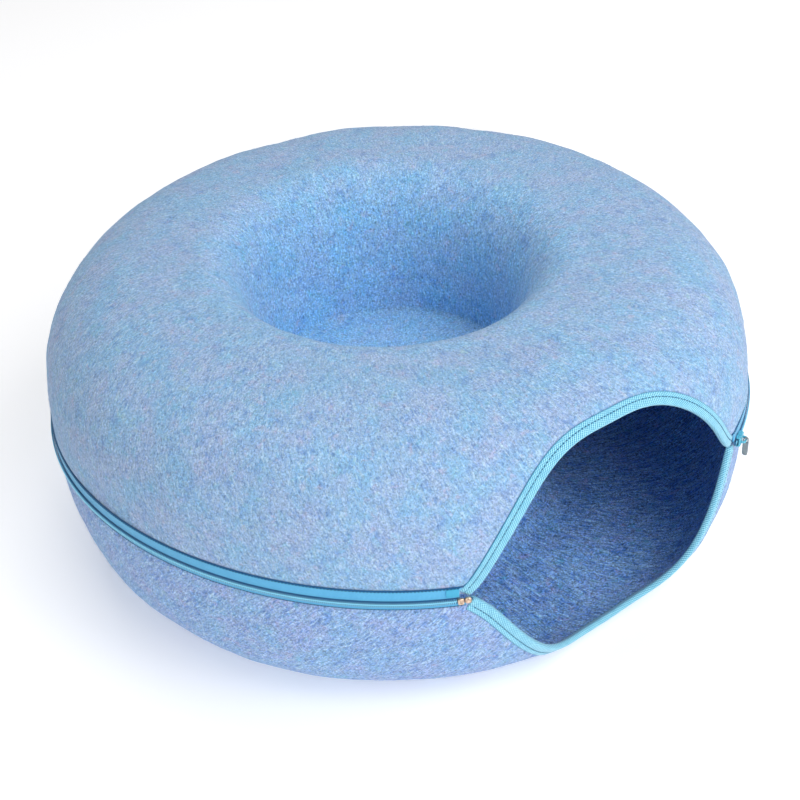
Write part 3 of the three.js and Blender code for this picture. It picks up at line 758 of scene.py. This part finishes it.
def felt_half(half_name, half):
    """One felt half as a closed mesh of an inner and an outer skin."""
    angle, start = felt_columns(half)
    column = angle[:, None]
    outer_s = felt_rows(half, start, EDGE_ROWS, ARCH_ROWS, WELL_ROWS, FLOOR_ROWS)
    inner_s = felt_rows(half, start, INNER_EDGE_ROWS, INNER_ARCH_ROWS, INNER_WELL_ROWS,
                        INNER_FLOOR_ROWS)
    lift = felt_lift(half_name, column, outer_s)
    lift[:, 0] -= EDGE_ROUND_MM
    near = distance_to_doorway(half, column, inner_s) < BINDING_INNER_WIDTH
    inner_lift = PINCH_MM * near - FELT_THICKNESS
    inner_lift[:, 0] += EDGE_ROUND_MM
    s = np.concatenate([inner_s[:, ::-1], start[:, None], outer_s], axis=1)
    lifts = np.concatenate([inner_lift[:, ::-1],
                            np.full((len(angle), 1), -FELT_THICKNESS / 2), lift], axis=1)
    grid = place(half, column, s, lifts)
    columns, rows = s.shape
    faces, _ = grid_faces(columns, rows, True, False)
    inner_pole = place(half, 0.0, half["end_at"], -FELT_THICKNESS)
    outer_pole = place(half, 0.0, half["end_at"], lift[:, -1].mean())
    points = np.concatenate([grid.reshape(-1, 3), [inner_pole, outer_pole]])
    here = np.arange(columns) * rows
    after = np.roll(here, -1)
    tip = np.full(columns, columns * rows)
    inner_fan = np.stack([tip, after, here, here], axis=1)
    outer_fan = np.stack([tip + 1, here + rows - 1, after + rows - 1, after + rows - 1], axis=1)
    faces = np.concatenate([faces, inner_fan, outer_fan])
    inside = np.arange(rows) < inner_s.shape[1]
    turned = np.where(inside, TUNNEL_TWIST, FELT_TWIST[half_name])
    stretched = np.where(inside, TUNNEL_STRETCH, 1)
    lay = lay_of(np.broadcast_to(column, s.shape), s, turned, stretched)
    lay = np.concatenate([lay.reshape(-1, 3), [[0, 0, half["end_at"] * MM]] * 2])
    in_well = np.clip((s[..., None] - half["crown_at"]) / WELL_FADE, 0, 1)
    glow = np.where(inside[:, None], TUNNEL_GLOW, 1 + in_well * (WELL_GLOW - 1)).reshape(-1, 3)
    glow = np.concatenate([glow, [TUNNEL_GLOW, WELL_GLOW]])
    drawn = np.append(np.where(inside, 1, WELL_DRAWN * in_well[..., 0]), [1, WELL_DRAWN])
    attributes = {"lay": lay, "glow": glow, "drawn": drawn}
    return make_piece(f"{half_name}_felt", points, faces, felt_finishes[half_name],
                      attributes=attributes)


felts = {key: felt_half(key, half) for key, half in HALVES.items()}

# %% [markdown]
# Threads, zip teeth, fibres and small metal parts are all closed lumps: rings of
# points with a pole at each end. They could be made one by one and joined, but a
# thousand stitches are one numpy array just as easily, so one helper takes the rings
# of all the lumps of a piece at once.


# %% Many small lumps as one mesh
def lumps(name, rings, ends, finish, attributes=None):
    """rings is (count, along, around, 3), ends is (count, 2, 3): each lump is a skin
    over its rings, closed at both ends by a fan to a pole."""
    count, along, around = rings.shape[:3]
    skin, _ = grid_faces(along, around, False, True)
    k = np.arange(around)
    after, last = (k + 1) % around, (along - 1) * around
    first_pole = np.full(around, along * around)
    fans = [np.stack([first_pole, k, after, after], axis=1),
            np.stack([first_pole + 1, last + after, last + k, last + k], axis=1)]
    one = np.concatenate([skin, *fans])
    each = along * around + 2
    faces = (one[None] + each * np.arange(count)[:, None, None]).reshape(-1, 4)
    points = np.concatenate([rings.reshape(count, -1, 3), ends], axis=1)
    return make_piece(name, points, faces, finish, attributes=attributes)


def soft_power(value, power):
    """value to a power, keeping its sign."""
    return np.sign(value) * np.abs(value) ** power


def rounded_box(half_sizes, corner, along=10, around=28):
    """Rings and poles of a box with round edges about the origin, in mm: with latitude
    v and longitude w it is (a cos v ^ c cos w ^ c, b cos v ^ c sin w ^ c, h sin v ^ c),
    where a small c is boxy."""
    a, b, h = half_sizes
    v = np.linspace(-1, 1, along + 2)[1:-1, None] * np.pi / 2
    w = np.linspace(0, 2 * np.pi, around, endpoint=False)
    level = soft_power(np.cos(v), corner)
    x = a * level * soft_power(np.cos(w), corner)
    y = b * level * soft_power(np.sin(w), corner)
    z = h * soft_power(np.sin(v), corner) * np.ones_like(w)
    return np.stack([x, y, z], axis=-1)[None], np.array([[[0, 0, -h], [0, 0, h]]])


# %% [markdown]
# The binding is a strip of cloth folded over the felt's edge and sewn through all
# three layers. Its section is a long U: two flat leaves, the inner one narrower, with a
# groove where the seam pulls them down, and a round fold. The section is carried along
# the doorway's edge. The UV map holds the length along the tape and the length round
# the section, so the weave follows the cloth.

# %% The doorway's bindings
BINDING_STATIONS = 190
BINDING_OUT = 0.6
BINDING_UNDER = -0.45
BINDING_CLEAR = 2.8
FOLD_RADIUS = 2.4
FELT_INSIDE_FOLD = 1.0
SEAM_IN_BINDING = 6.6
# Painted shade on the binding, by distance from the fold: a darker band along the seam's groove in
# both leaves, and a painted contact shadow along the outer leaf's free edge, where it meets the
# felt.
BINDING_PAINTED_SHADE = ([6.0, 6.4, 6.8, 7.2, 10.0, 10.8], [0.0, 0.3, 0.3, 0.0, 0.0, 0.9])
SEAM_GROOVE = 0.55
SEAM_GROOVE_WIDTH = 0.6
LEAF_POINTS, FOLD_POINTS = 24, 15
LEAF_ROUND = 0.3
FOLD_POWER = 0.8
LEAF_BACK = 0.15


def leaf_lift(distance):
    """Lift of a leaf over the felt: flat, with the seam's groove."""
    from_seam = (distance - SEAM_IN_BINDING) / SEAM_GROOVE_WIDTH
    return BINDING_OUT - SEAM_GROOVE * np.exp(-from_seam ** 2)


def leaf(width):
    """Distances from the fold of one leaf, from its free edge to the fold."""
    even = np.linspace(width - 2 * LEAF_ROUND, FOLD_RADIUS, LEAF_POINTS)
    return np.concatenate([[width, width, width - LEAF_ROUND], even])


def binding_section():
    """The U as distances from the fold and lifts: outside of the outer leaf, fold,
    outside of the narrower inner leaf, and back along the side that touches the felt."""
    middle, reach = -FELT_THICKNESS / 2, FELT_THICKNESS / 2 + BINDING_OUT
    outer, inner = leaf(BINDING_WIDTH), leaf(BINDING_INNER_WIDTH)
    lifts = [leaf_lift(outer), leaf_lift(inner)]
    for lift in lifts:
        lift[:2] = BINDING_UNDER + 0.2, BINDING_OUT - LEAF_ROUND
    turn = np.linspace(np.pi / 2, -np.pi / 2, FOLD_POINTS)[1:-1]
    fold = FOLD_RADIUS * (1 - soft_power(np.cos(turn), FOLD_POWER))
    fold_lift = middle + reach * soft_power(np.sin(turn), FOLD_POWER)
    distance = np.concatenate([outer, fold, inner[::-1]])
    outside = np.concatenate([lifts[0], fold_lift, 2 * middle - lifts[1][::-1]])
    inside = np.clip(outside, 2 * middle - BINDING_UNDER, BINDING_UNDER)
    reaches = np.where(outside > middle, BINDING_WIDTH, BINDING_INNER_WIDTH) - LEAF_BACK
    back = np.minimum(np.maximum(distance, FELT_INSIDE_FOLD), reaches)
    return np.concatenate([distance, back[::-1]]), np.concatenate([outside, inside[::-1]])


def path_length(*parts):
    """Length from the first point to every point of a path, with the way back added."""
    steps = np.sqrt(sum(np.diff(part, append=part[:1]) ** 2 for part in parts))
    return np.concatenate([[0], np.cumsum(steps)])


def binding(half_name, half):
    """One half's binding, from the doorway's left corner to its right corner."""
    edge = doorway_edge(half, BINDING_STATIONS)
    distance, lift = binding_section()
    column = {key: values[:, None] for key, values in edge.items()}
    angle, s = step_in(column, distance, BINDING_CLEAR)
    lengths = (edge["length"] * MM, path_length(distance, lift) * MM)
    # Painted shade: darker along the seam's groove and at the outer leaf's edge against the felt.
    dark = np.interp(distance, *BINDING_PAINTED_SHADE) + 0 * s
    return swept_piece(f"{half_name}_binding", place(half, angle, s, lift), binding_finish,
                       lengths=lengths, attributes={"dark": dark.ravel()})


bindings = {key: binding(key, half) for key, half in HALVES.items()}

# %% [markdown]
# A machine stitch shows as a short bar of thread that dives into the cloth at both
# ends. Each is a lump of six-sided rings, bent like a bow. A row of them is made from
# a function that turns a length along the row, a distance across it and a lift into a
# point, so the same helper sews the curved bindings and the round tapes.

# %% Stitches
THREAD_RADIUS = 0.4
THREAD_DIP = 0.45
STITCH_RINGS = np.array([-0.9, -0.45, 0.0, 0.45, 0.9])
STITCH_TAPER = np.array([0.7, 1, 1, 1, 0.7])
STITCH_SIDES = 6


def stitch_row(name, point_at, start, end, pitch, lift, dash_share=0.66):
    """Stitches from start to end, in mm along the row: with t from -1 to 1 along one
    stitch its middle line is lift - dip t^2 and its radius shrinks towards its ends."""
    count = int((end - start) / pitch)
    middle = start + (np.arange(count) + 0.5) * (end - start) / count
    t = STITCH_RINGS[:, None]
    around = np.linspace(0, 2 * np.pi, STITCH_SIDES, endpoint=False)
    radius = THREAD_RADIUS * STITCH_TAPER[:, None]
    along = middle[:, None, None] + t * dash_share * pitch / 2 + 0 * around
    height = lift - THREAD_DIP * t ** 2 + radius * np.sin(around) + 0 * along
    rings = point_at(along, radius * np.cos(around) + 0 * along, height)
    tips = middle[:, None] + np.array([-1, 1]) * dash_share * pitch / 2
    ends = point_at(tips, 0 * tips, lift - THREAD_DIP + 0 * tips)
    return lumps(name, rings, ends, thread_finish)


def binding_seam(half, side):
    """Point function of the seam in a binding's outer (+1) or inner (-1) leaf."""
    edge = doorway_edge(half, BINDING_STATIONS)

    def point_at(along, across, lift):
        here = {key: np.interp(along, edge["length"], values) for key, values in edge.items()}
        angle, s = step_in(here, SEAM_IN_BINDING + across, BINDING_CLEAR)
        off = lift if side > 0 else -FELT_THICKNESS - lift
        return place(half, angle, s, off)

    return point_at, edge["length"][-1]


SEAM_PITCH = 3.0
SEAM_END_GAP = 5.0
SEAM_IN_GROOVE = BINDING_OUT - SEAM_GROOVE + 0.25
binding_seams = {key: [] for key in HALVES}
for half_name, half in HALVES.items():
    for leaf_name, side in (("outer", 1), ("inner", -1)):
        point_at, length = binding_seam(half, side)
        binding_seams[half_name].append(stitch_row(
            f"{half_name}_binding_{leaf_name}_seam", point_at, SEAM_END_GAP,
            length - SEAM_END_GAP, SEAM_PITCH, SEAM_IN_GROOVE))

# %% [markdown]
# The zip's two tapes lie on the outside of the felt. Each is a flat strip that is sewn
# down along its outer edge. Where the tapes meet the doorway they are cut along the
# binding, so every line along a tape has its own end: the ends are looked up on the
# binding's outer edge, and the tape's points are spread evenly between them.

# %% Zip tapes
TAPE_STATIONS = 420
TAPE_TOP = 1.55
TAPE_UNDER = 0.25
TAPE_INNER_EDGE = 0.3
TAPE_GAP_TO_BINDING = 0.15
TAPE_SEAM_FROM_EDGE = 0.9
TAPE_SEAM_DENT, TAPE_SEAM_DENT_WIDTH = 0.4, 0.4
TAPE_STITCH_PITCH = 2.6
TAPE_STITCH_SHARE = 0.8
TAPE_SEAM_END_GAP = 2.0
EDGE_STEPS_MM = np.array([0, 0.1, 0.4, 0.7])
SEAM_STEPS_MM = np.linspace(0.9, 2.2, 6)
COIL_SIDE_MM = [3.1, 2.7]
ZIP_DEGREES = 308


def tape_ends(half, level):
    """Angles where the lines of a tape at the given lengths s end, left and right of
    the doorway: on the line that runs beside the binding."""
    edge = doorway_edge(half, 400)
    angle, s = step_in(edge, BINDING_WIDTH + TAPE_GAP_TO_BINDING, 0)
    top = int(np.argmax(s))
    left = np.interp(level, s[:top], angle[:top])
    right = np.interp(level, s[:top:-1], angle[:top:-1])
    return left, right - 360


def tape_section(width):
    """Distances from the zip line and lifts: over the top from the outer edge, with the
    seam's dent, to the coil, and back underneath."""
    across = np.concatenate([width - EDGE_STEPS_MM, width - SEAM_STEPS_MM,
                             np.linspace(width - 2.8, 3.35, 4), COIL_SIDE_MM, [TAPE_INNER_EDGE]])
    from_seam = (width - across - TAPE_SEAM_FROM_EDGE) / TAPE_SEAM_DENT_WIDTH
    top = TAPE_TOP - TAPE_SEAM_DENT * np.exp(-from_seam ** 2)
    top[:3] = TAPE_UNDER + 0.25, TAPE_UNDER + 0.7, TAPE_UNDER + 0.95
    lifts = np.concatenate([top, np.full(len(top), TAPE_UNDER)])
    return np.concatenate([across, across[::-1]]), lifts


def zip_tape(half_name, half):
    """One tape, from one side of the doorway round the back to the other."""
    width = TAPE_WIDTH[half_name]
    across, lift = tape_section(width)
    left, right = tape_ends(half, across)
    share = np.linspace(0, 1, TAPE_STATIONS + 1)
    angle = left + (right - left) * share[:, None]
    lengths = (share * np.radians(ZIP_DEGREES) * RING_RADIUS * MM, np.r_[across, across[0]] * MM)
    # Painted shade on the tape: dark beside the coil, where the coil shades it, and a painted gap
    # shadow along its outer edge against the felt.
    painted_shade_at = [*COIL_SIDE_MM[::-1], width - 1.1, width - 0.7]
    dark = np.interp(across, painted_shade_at, [1.0, 0.0, 0.0, 1.0]) + 0 * angle
    return swept_piece(f"{half_name}_zip_tape", place(half, angle, across, lift), tape_finish,
                       lengths=lengths, attributes={"dark": dark.ravel()})


def tape_seam(half_name, half):
    """Point function of the row of stitches near a tape's outer edge."""
    level = TAPE_WIDTH[half_name] - TAPE_SEAM_FROM_EDGE
    left, right = tape_ends(half, level)

    def point_at(along, across, lift):
        return place(half, left - np.degrees(along / RING_RADIUS), level + across, lift)

    return point_at, np.radians(left - right) * RING_RADIUS


tapes = {key: zip_tape(key, half) for key, half in HALVES.items()}
tape_seams = {}
for half_name, half in HALVES.items():
    point_at, length = tape_seam(half_name, half)
    tape_seams[half_name] = stitch_row(f"{half_name}_zip_tape_seam", point_at, TAPE_SEAM_END_GAP,
                                       length - TAPE_SEAM_END_GAP, TAPE_STITCH_PITCH,
                                       TAPE_TOP - 0.1, TAPE_STITCH_SHARE)

# %% [markdown]
# A nylon zip is two long coils whose loops hook into each other. From outside, each
# loop is a short bar across the tape, round at its head, and the heads of the two sides
# alternate along the middle. One bar is a bent lump of five-sided rings; the second
# row is the first, mirrored across the zip line and shifted by half a pitch.

# %% The zip's coil
COIL_PITCH = 1.5
COIL_RADIUS = 0.43
COIL_SIDES, COIL_TURNED = 5, 0.3
COIL_TAPER = np.array([0.8, 1.0, 1.0, 1.0, 0.8])
# The "dark" entries are painted shade: each bar darkens towards its foot, where it meets the tape.
COIL_LINE = {"across": [2.45, 2.15, 1.2, 0.1, -0.35], "lift": [1.75, 2.75, 3.2, 3.2, 2.9],
             "slant": [0.42, 0.36, 0.18, 0.0, 0.0], "dark": [1.0, 0.8, 0.25, 0.0, 0.0]}
COIL_ENDS = {"across": [2.6, -0.7], "lift": [1.5, 2.5],
             "slant": [0.42, 0.0], "dark": [1.0, 0.0]}
STOP_LENGTH = 4.8
STOP_GAP = 0.4
LEFT_CORNER = doorway_edge(upper, 2)["angle"][0]
RIGHT_CORNER = doorway_edge(lower, 2)["angle"][-1]
DEGREES_PER_MM = np.degrees(1 / RING_RADIUS)
PIN_ANGLE = LEFT_CORNER - (STOP_LENGTH / 2 + 0.3) * DEGREES_PER_MM
BOX_ANGLE = PIN_ANGLE - (STOP_LENGTH + STOP_GAP) * DEGREES_PER_MM
COIL_START = BOX_ANGLE - (STOP_LENGTH / 2 + STOP_GAP) * DEGREES_PER_MM
COIL_END = RIGHT_CORNER - 360 + DEGREES_PER_MM


def coil(name):
    """Both rows of bars from the stop to the slider, as one piece."""
    pitch = COIL_PITCH * DEGREES_PER_MM
    count = int((COIL_START - COIL_END) / pitch)
    line, tips = ({key: np.array(values) for key, values in part.items()}
                  for part in (COIL_LINE, COIL_ENDS))
    around = np.linspace(0, 2 * np.pi, COIL_SIDES, endpoint=False) + COIL_TURNED
    thick = COIL_RADIUS * COIL_TAPER[:, None]
    rings, ends = [], []
    for row, side in enumerate((1, -1)):
        middle = COIL_START - (np.arange(count) + 0.5 * row + 0.25) * pitch
        slant = line["slant"][:, None] * COIL_PITCH + side * thick * np.cos(around)
        angle = middle[:, None, None] - slant * DEGREES_PER_MM
        lift = line["lift"][:, None] + thick * np.sin(around) + 0 * angle
        rings.append(place_across(angle, side * line["across"][:, None] + 0 * angle, lift))
        angle = middle[:, None] - tips["slant"] * pitch
        ends.append(place_across(angle, side * tips["across"] + 0 * angle, tips["lift"]))
    # Painted shade at the bars' feet, from the "dark" entries.
    dark = np.concatenate([np.repeat(line["dark"], COIL_SIDES), tips["dark"]])
    return lumps(name, np.concatenate(rings), np.concatenate(ends), coil_finish,
                 {"dark": np.tile(dark, 2 * count)})


zip_coil = coil("zip_coil")

# %% [markdown]
# At the doorway's left corner the zip ends in a two-piece metal stop, and the upper
# tape's end is folded back over itself. These are small boxes with round edges, bent
# with the ring by placing their points at angles, distances across and lifts.

# %% Stops and the folded tape end
PATCH_LOW, PATCH_HIGH, PATCH_LENGTH, PATCH_THICK = 4.4, 12.0, 9.5, 0.9
PATCH_LIFT, PATCH_CORNER = 1.95, 0.2
STOP_BOX = {"across": 0.1, "lift": 3.1, "half_sizes": (STOP_LENGTH / 2, 2.9, 1.4)}
STOP_PIN = {"across": 0.6, "lift": 3.05, "half_sizes": (STOP_LENGTH / 2, 2.7, 1.3)}
STOP_CORNER = 0.5


def on_zip(points, angle, across, lift):
    """Points in mm (x along the zip, y across it, z off the felt) laid on the bed."""
    x, y, z = np.moveaxis(points, -1, 0)
    return place_across(angle + x * DEGREES_PER_MM, across + y, lift + z)


def box_on_zip(name, finish, corner, angle, across, lift, half_sizes):
    """A box with round edges laid on the bed at a place on the zip."""
    parts = (on_zip(points, angle, across, lift) for points in rounded_box(half_sizes, corner))
    return lumps(name, *parts, finish)


patch_right = min(tape_ends(upper, level)[0] for level in (PATCH_LOW, PATCH_HIGH))
patch_angle = patch_right - (PATCH_LENGTH / 2 + 0.3) * DEGREES_PER_MM
patch_sizes = (PATCH_LENGTH / 2, (PATCH_HIGH - PATCH_LOW) / 2, PATCH_THICK / 2)
tape_end_patch = box_on_zip("tape_end_patch", tape_end_finish, PATCH_CORNER, patch_angle,
                            (PATCH_LOW + PATCH_HIGH) / 2, PATCH_LIFT, patch_sizes)
stop_box = box_on_zip("stop_box", stop_finish, STOP_CORNER, BOX_ANGLE, **STOP_BOX)
stop_pin = box_on_zip("stop_pin", stop_finish, STOP_CORNER, PIN_ANGLE, **STOP_PIN)

# %% [markdown]
# The slider is a channel that rides over the coil, with a small arch on top that the
# pull hangs from. It is modelled in a frame of its own, with x along the zip, y up and
# z off the felt, and then turned into place. The plate and the two flanges are boxes
# with round edges, the arch is a rounded section carried over a bow, and the pull is a
# ring-shaped surface: one direction goes round its eye, the other round its section.

# %% The slider and its pull
SLIDER_ANGLE = RIGHT_CORNER + 8.0 * DEGREES_PER_MM
SLIDER_PLATE = {"half_sizes": (6.2, 4.6, 0.95), "centre": (0, 0, 5.2)}
SLIDER_FLANGES = [{"half_sizes": (5.9, 0.75, 1.6), "centre": (0, y, 3.6)}
                  for y in (3.85, -3.85)]
SLIDER_CORNER = 0.4
ARCH_HALF_LENGTH, ARCH_FOOT, ARCH_RISE = 3.9, 5.6, 3.6
ARCH_SECTION, ARCH_SECTION_POWER = (1.0, 0.75), 0.6
ARCH_POWER = 0.5
PULL_OUTER = {"centre": (-6.15, 9.2), "half": (8.8, 2.35), "power": 0.45}
PULL_EYE = {"centre": (0.0, 9.2), "half": (1.6, 1.25), "power": 0.6}
PULL_HALF_THICKNESS = 0.75
PULL_POWER = 0.5


def slider_place(points):
    """Points of the slider's own frame, in mm, in the bed's frame, in metres. The frame
    follows the slope that the zip has there."""
    outward = direction(SLIDER_ANGLE)
    before, origin, after = (place_across(SLIDER_ANGLE + turn, 0.0, 0.0) for turn in (-1, 0, 1))
    along = after - before - (after - before) @ outward * outward
    along /= np.linalg.norm(along)
    return origin + points @ np.stack([along, np.cross(outward, along), outward]) * MM


def loop_points(shape, turn):
    """Points of a rounded rectangle about a centre, at angles round it."""
    circle = np.stack([np.cos(turn), np.sin(turn)], -1)
    return shape["centre"] + shape["half"] * soft_power(circle, shape["power"])


def slider_arch():
    """Grid of the arch: a rounded section carried over a bow from foot to foot."""
    turn = np.linspace(0, np.pi, 17)
    way = np.stack([ARCH_HALF_LENGTH * soft_power(np.cos(turn), ARCH_POWER), 0 * turn,
                    ARCH_FOOT + ARCH_RISE * soft_power(np.sin(turn), ARCH_POWER)], -1)
    ahead = np.gradient(way, axis=0)
    ahead /= np.linalg.norm(ahead, axis=1, keepdims=True)
    off = np.cross(ahead, [0, 1, 0])
    around = np.linspace(0, 2 * np.pi, 12, endpoint=False)
    wide, thick = (half_size * soft_power(wave_part(around), ARCH_SECTION_POWER)
                   for half_size, wave_part in zip(ARCH_SECTION, (np.cos, np.sin)))
    return way[:, None] + wide[:, None] * np.array([0, 1, 0]) + off[:, None] * thick[:, None]


def pull_grid():
    """Grid of the pull: from its eye's edge to its outline and back, round the eye."""
    round_eye = np.linspace(0, 2 * np.pi, 48, endpoint=False)[:, None]
    section = np.linspace(0, 2 * np.pi, 14, endpoint=False)
    width = 0.5 - 0.5 * soft_power(np.cos(section), PULL_POWER)
    eye, outline = loop_points(PULL_EYE, round_eye), loop_points(PULL_OUTER, round_eye)
    flat = eye + (outline - eye) * width[:, None]
    thick = PULL_HALF_THICKNESS * soft_power(np.sin(section), PULL_POWER) * np.ones_like(round_eye)
    return np.concatenate([thick[..., None], flat], axis=-1)


slider_parts = []
for part_number, part in enumerate([SLIDER_PLATE, *SLIDER_FLANGES]):
    placed = (slider_place(points + part["centre"])
              for points in rounded_box(part["half_sizes"], SLIDER_CORNER))
    slider_parts.append(lumps(f"slider_part_{part_number}", *placed, slider_finish))
slider_parts.append(swept_piece("slider_arch", slider_place(slider_arch()), slider_finish))
slider_pull = swept_piece("pull", slider_place(pull_grid()), pull_finish, close_along=True)


def join(name, parts):
    """Several objects joined into the first, which gets the name."""
    with bpy.context.temp_override(active_object=parts[0], selected_editable_objects=parts):
        bpy.ops.object.join()
    parts[0].name = name
    return parts[0]


slider = join("slider", slider_parts)

# %% [markdown]
# Felt is never quite smooth: single fibres have worked loose and lie on it or stand a
# little off. A particle system could scatter them, but its hairs would not be part of
# the mesh, so each fibre is a thin lump of three-sided rings, scattered by a seeded
# random generator. Its length, its direction and its bend are its own.

# %% Loose fibres
FIBRE_COUNT = 14000
FIBRE_LENGTH = (2.0, 6.5)
FIBRE_RADIUS = (0.045, 0.085)
FIBRE_STAND = (0.15, 0.8)
FIBRE_BEND = 0.5
FIBRE_SIDES = 3
FIBRE_RINGS = {"share": (0.3, 0.7), "thick": (1.0, 0.75), "rise": (0.45, 0.8)}
FIBRE_ROOT_MM = -0.15
FIBRES_IN_TUNNEL = {"upper": 0.05, "lower": 0.45}
FIBRE_SEED = {"upper": 5, "lower": 6}
CLEAR_OF_TRIMS_MM = 1
SPARE_DRAWS = 4


def scattered(half, count, chance):
    """Angles and lengths s spread evenly over the felt: s is drawn in proportion to the
    radius, more often than needed, and what falls into the doorway, under its binding or
    under a tape is left out."""
    s = np.linspace(0, half["floor_at"] + 60, 500)
    weight = np.cumsum(np.interp(s, half["s"], half["r"]))
    angle = chance.uniform(-270, 90, SPARE_DRAWS * count)
    length = np.interp(chance.uniform(0, weight[-1], SPARE_DRAWS * count), weight, s)
    cut, cut_s = step_in(doorway_edge(half, 200), BINDING_WIDTH + CLEAR_OF_TRIMS_MM, 0)
    bare = np.interp(angle, cut, cut_s, left=0, right=0)
    kept = length > np.maximum(bare, TAPE_WIDTH["upper"] + CLEAR_OF_TRIMS_MM)
    return angle[kept][:count], length[kept][:count]


def fibres(half_name, half):
    """Loose fibres of one half, a share of them on the tunnel's side."""
    chance = np.random.default_rng(FIBRE_SEED[half_name])
    angle, s = scattered(half, FIBRE_COUNT, chance)
    count = len(angle)
    sizes = [chance.uniform(*limits, count) for limits in (FIBRE_LENGTH, FIBRE_RADIUS, FIBRE_STAND)]
    heading = chance.uniform(0, 2 * np.pi, count)
    bend = chance.normal(0, FIBRE_BEND, count)
    side = np.where(chance.uniform(size=count) < FIBRES_IN_TUNNEL[half_name], -1.0, 1.0)
    dye = np.repeat(chance.uniform(size=count), len(FIBRE_RINGS["share"]) * FIBRE_SIDES + 2)
    skin = np.where(side > 0, 0.0, FELT_THICKNESS)
    ring = np.interp(s, half["s"], half["r"])
    angle, s, length, radius, stand, heading, bend, side, skin, ring = (
        values[:, None, None] for values in (angle, s, *sizes, heading, bend, side, skin, ring))

    def point_at(share, sideways, off):
        """A share of the way along the fibre, an offset beside it and a lift."""
        turn = heading + bend * share
        x = length * share * np.cos(turn) - sideways * np.sin(turn)
        y = length * share * np.sin(turn) + sideways * np.cos(turn)
        return place(half, angle + np.degrees(x / ring), np.clip(s + y, 0, half["end_at"] - 1),
                     side * (skin + off))

    share, thick, rise = (np.array(values)[:, None] for values in FIBRE_RINGS.values())
    around = np.arange(FIBRE_SIDES) * 2 * np.pi / FIBRE_SIDES
    rings = point_at(share, radius * thick * np.cos(around),
                     stand * rise + radius * thick * np.sin(around))
    tip_rise = np.concatenate([np.full((count, 1, 1), FIBRE_ROOT_MM), stand], axis=1)
    ends = point_at(np.array([[0.0], [1.0]]), 0 * tip_rise, tip_rise)[:, :, 0]
    return lumps(f"{half_name}_felt_fibres", rings, ends, fibre_finishes[half_name], {"dye": dye})


loose_fibres = {key: fibres(key, half) for key, half in HALVES.items()}

# %% [markdown]
# The floor is only there for the picture. Then every piece is tied to the model: it
# rides on the one body the bed has and stands for the CAD node that it dresses. Each
# felt half was cut from a round of felt 76 cm across, each binding from a strip 25 mm
# wide. A tape is sewn to its felt half, so it is named with it.

# %% The floor and the ties to the model
floor_mesh = bpy.data.meshes.new("floor")
corners = np.array([(-1, -1, 0), (1, -1, 0), (1, 1, 0), (-1, 1, 0)]) * FLOOR_SIZE / 2
floor_mesh.from_pydata(corners.tolist(), [], [(0, 1, 2, 3)])
floor_mesh.materials.append(floor_finish.material)
floor = bpy.data.objects.new("floor", floor_mesh)
bpy.context.scene.collection.objects.link(floor)

ON_THE_ZIP = [
    (zip_coil, "zip_chain", "zip_coil"),
    (tape_end_patch, "zip_tape_end", "zip_tape_end"),
    (stop_box, "zip_stop_box", "stop_metal"),
    (stop_pin, "zip_stop_pin", "stop_metal"),
    (slider, "slider_body", "slider_paint"),
    (slider_pull, "slider_pull", "pull_metal"),
]


def tie(piece, node=None):
    """The piece moves with the bed and stands for a node, if any."""
    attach(piece, "root")
    if node:
        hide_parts(node)


for key in HALVES:
    tie(felts[key], f"{key}_shell")
    tie(bindings[key], f"doorway_binding_{key}")
    tie(tapes[key], f"zip_tape_{key}")
    tie(tape_seams[key])
    tie(loose_fibres[key])
    for seam in binding_seams[key]:
        tie(seam)
for piece, node, slot_name in ON_THE_ZIP:
    tie(piece, node)
for key, half in HALVES.items():
    doorway_edge(half, 100)["length"][-1] * MM

# %% [markdown]
# Last, the scene's view layer is brought up to date.

bpy.context.view_layer.update()
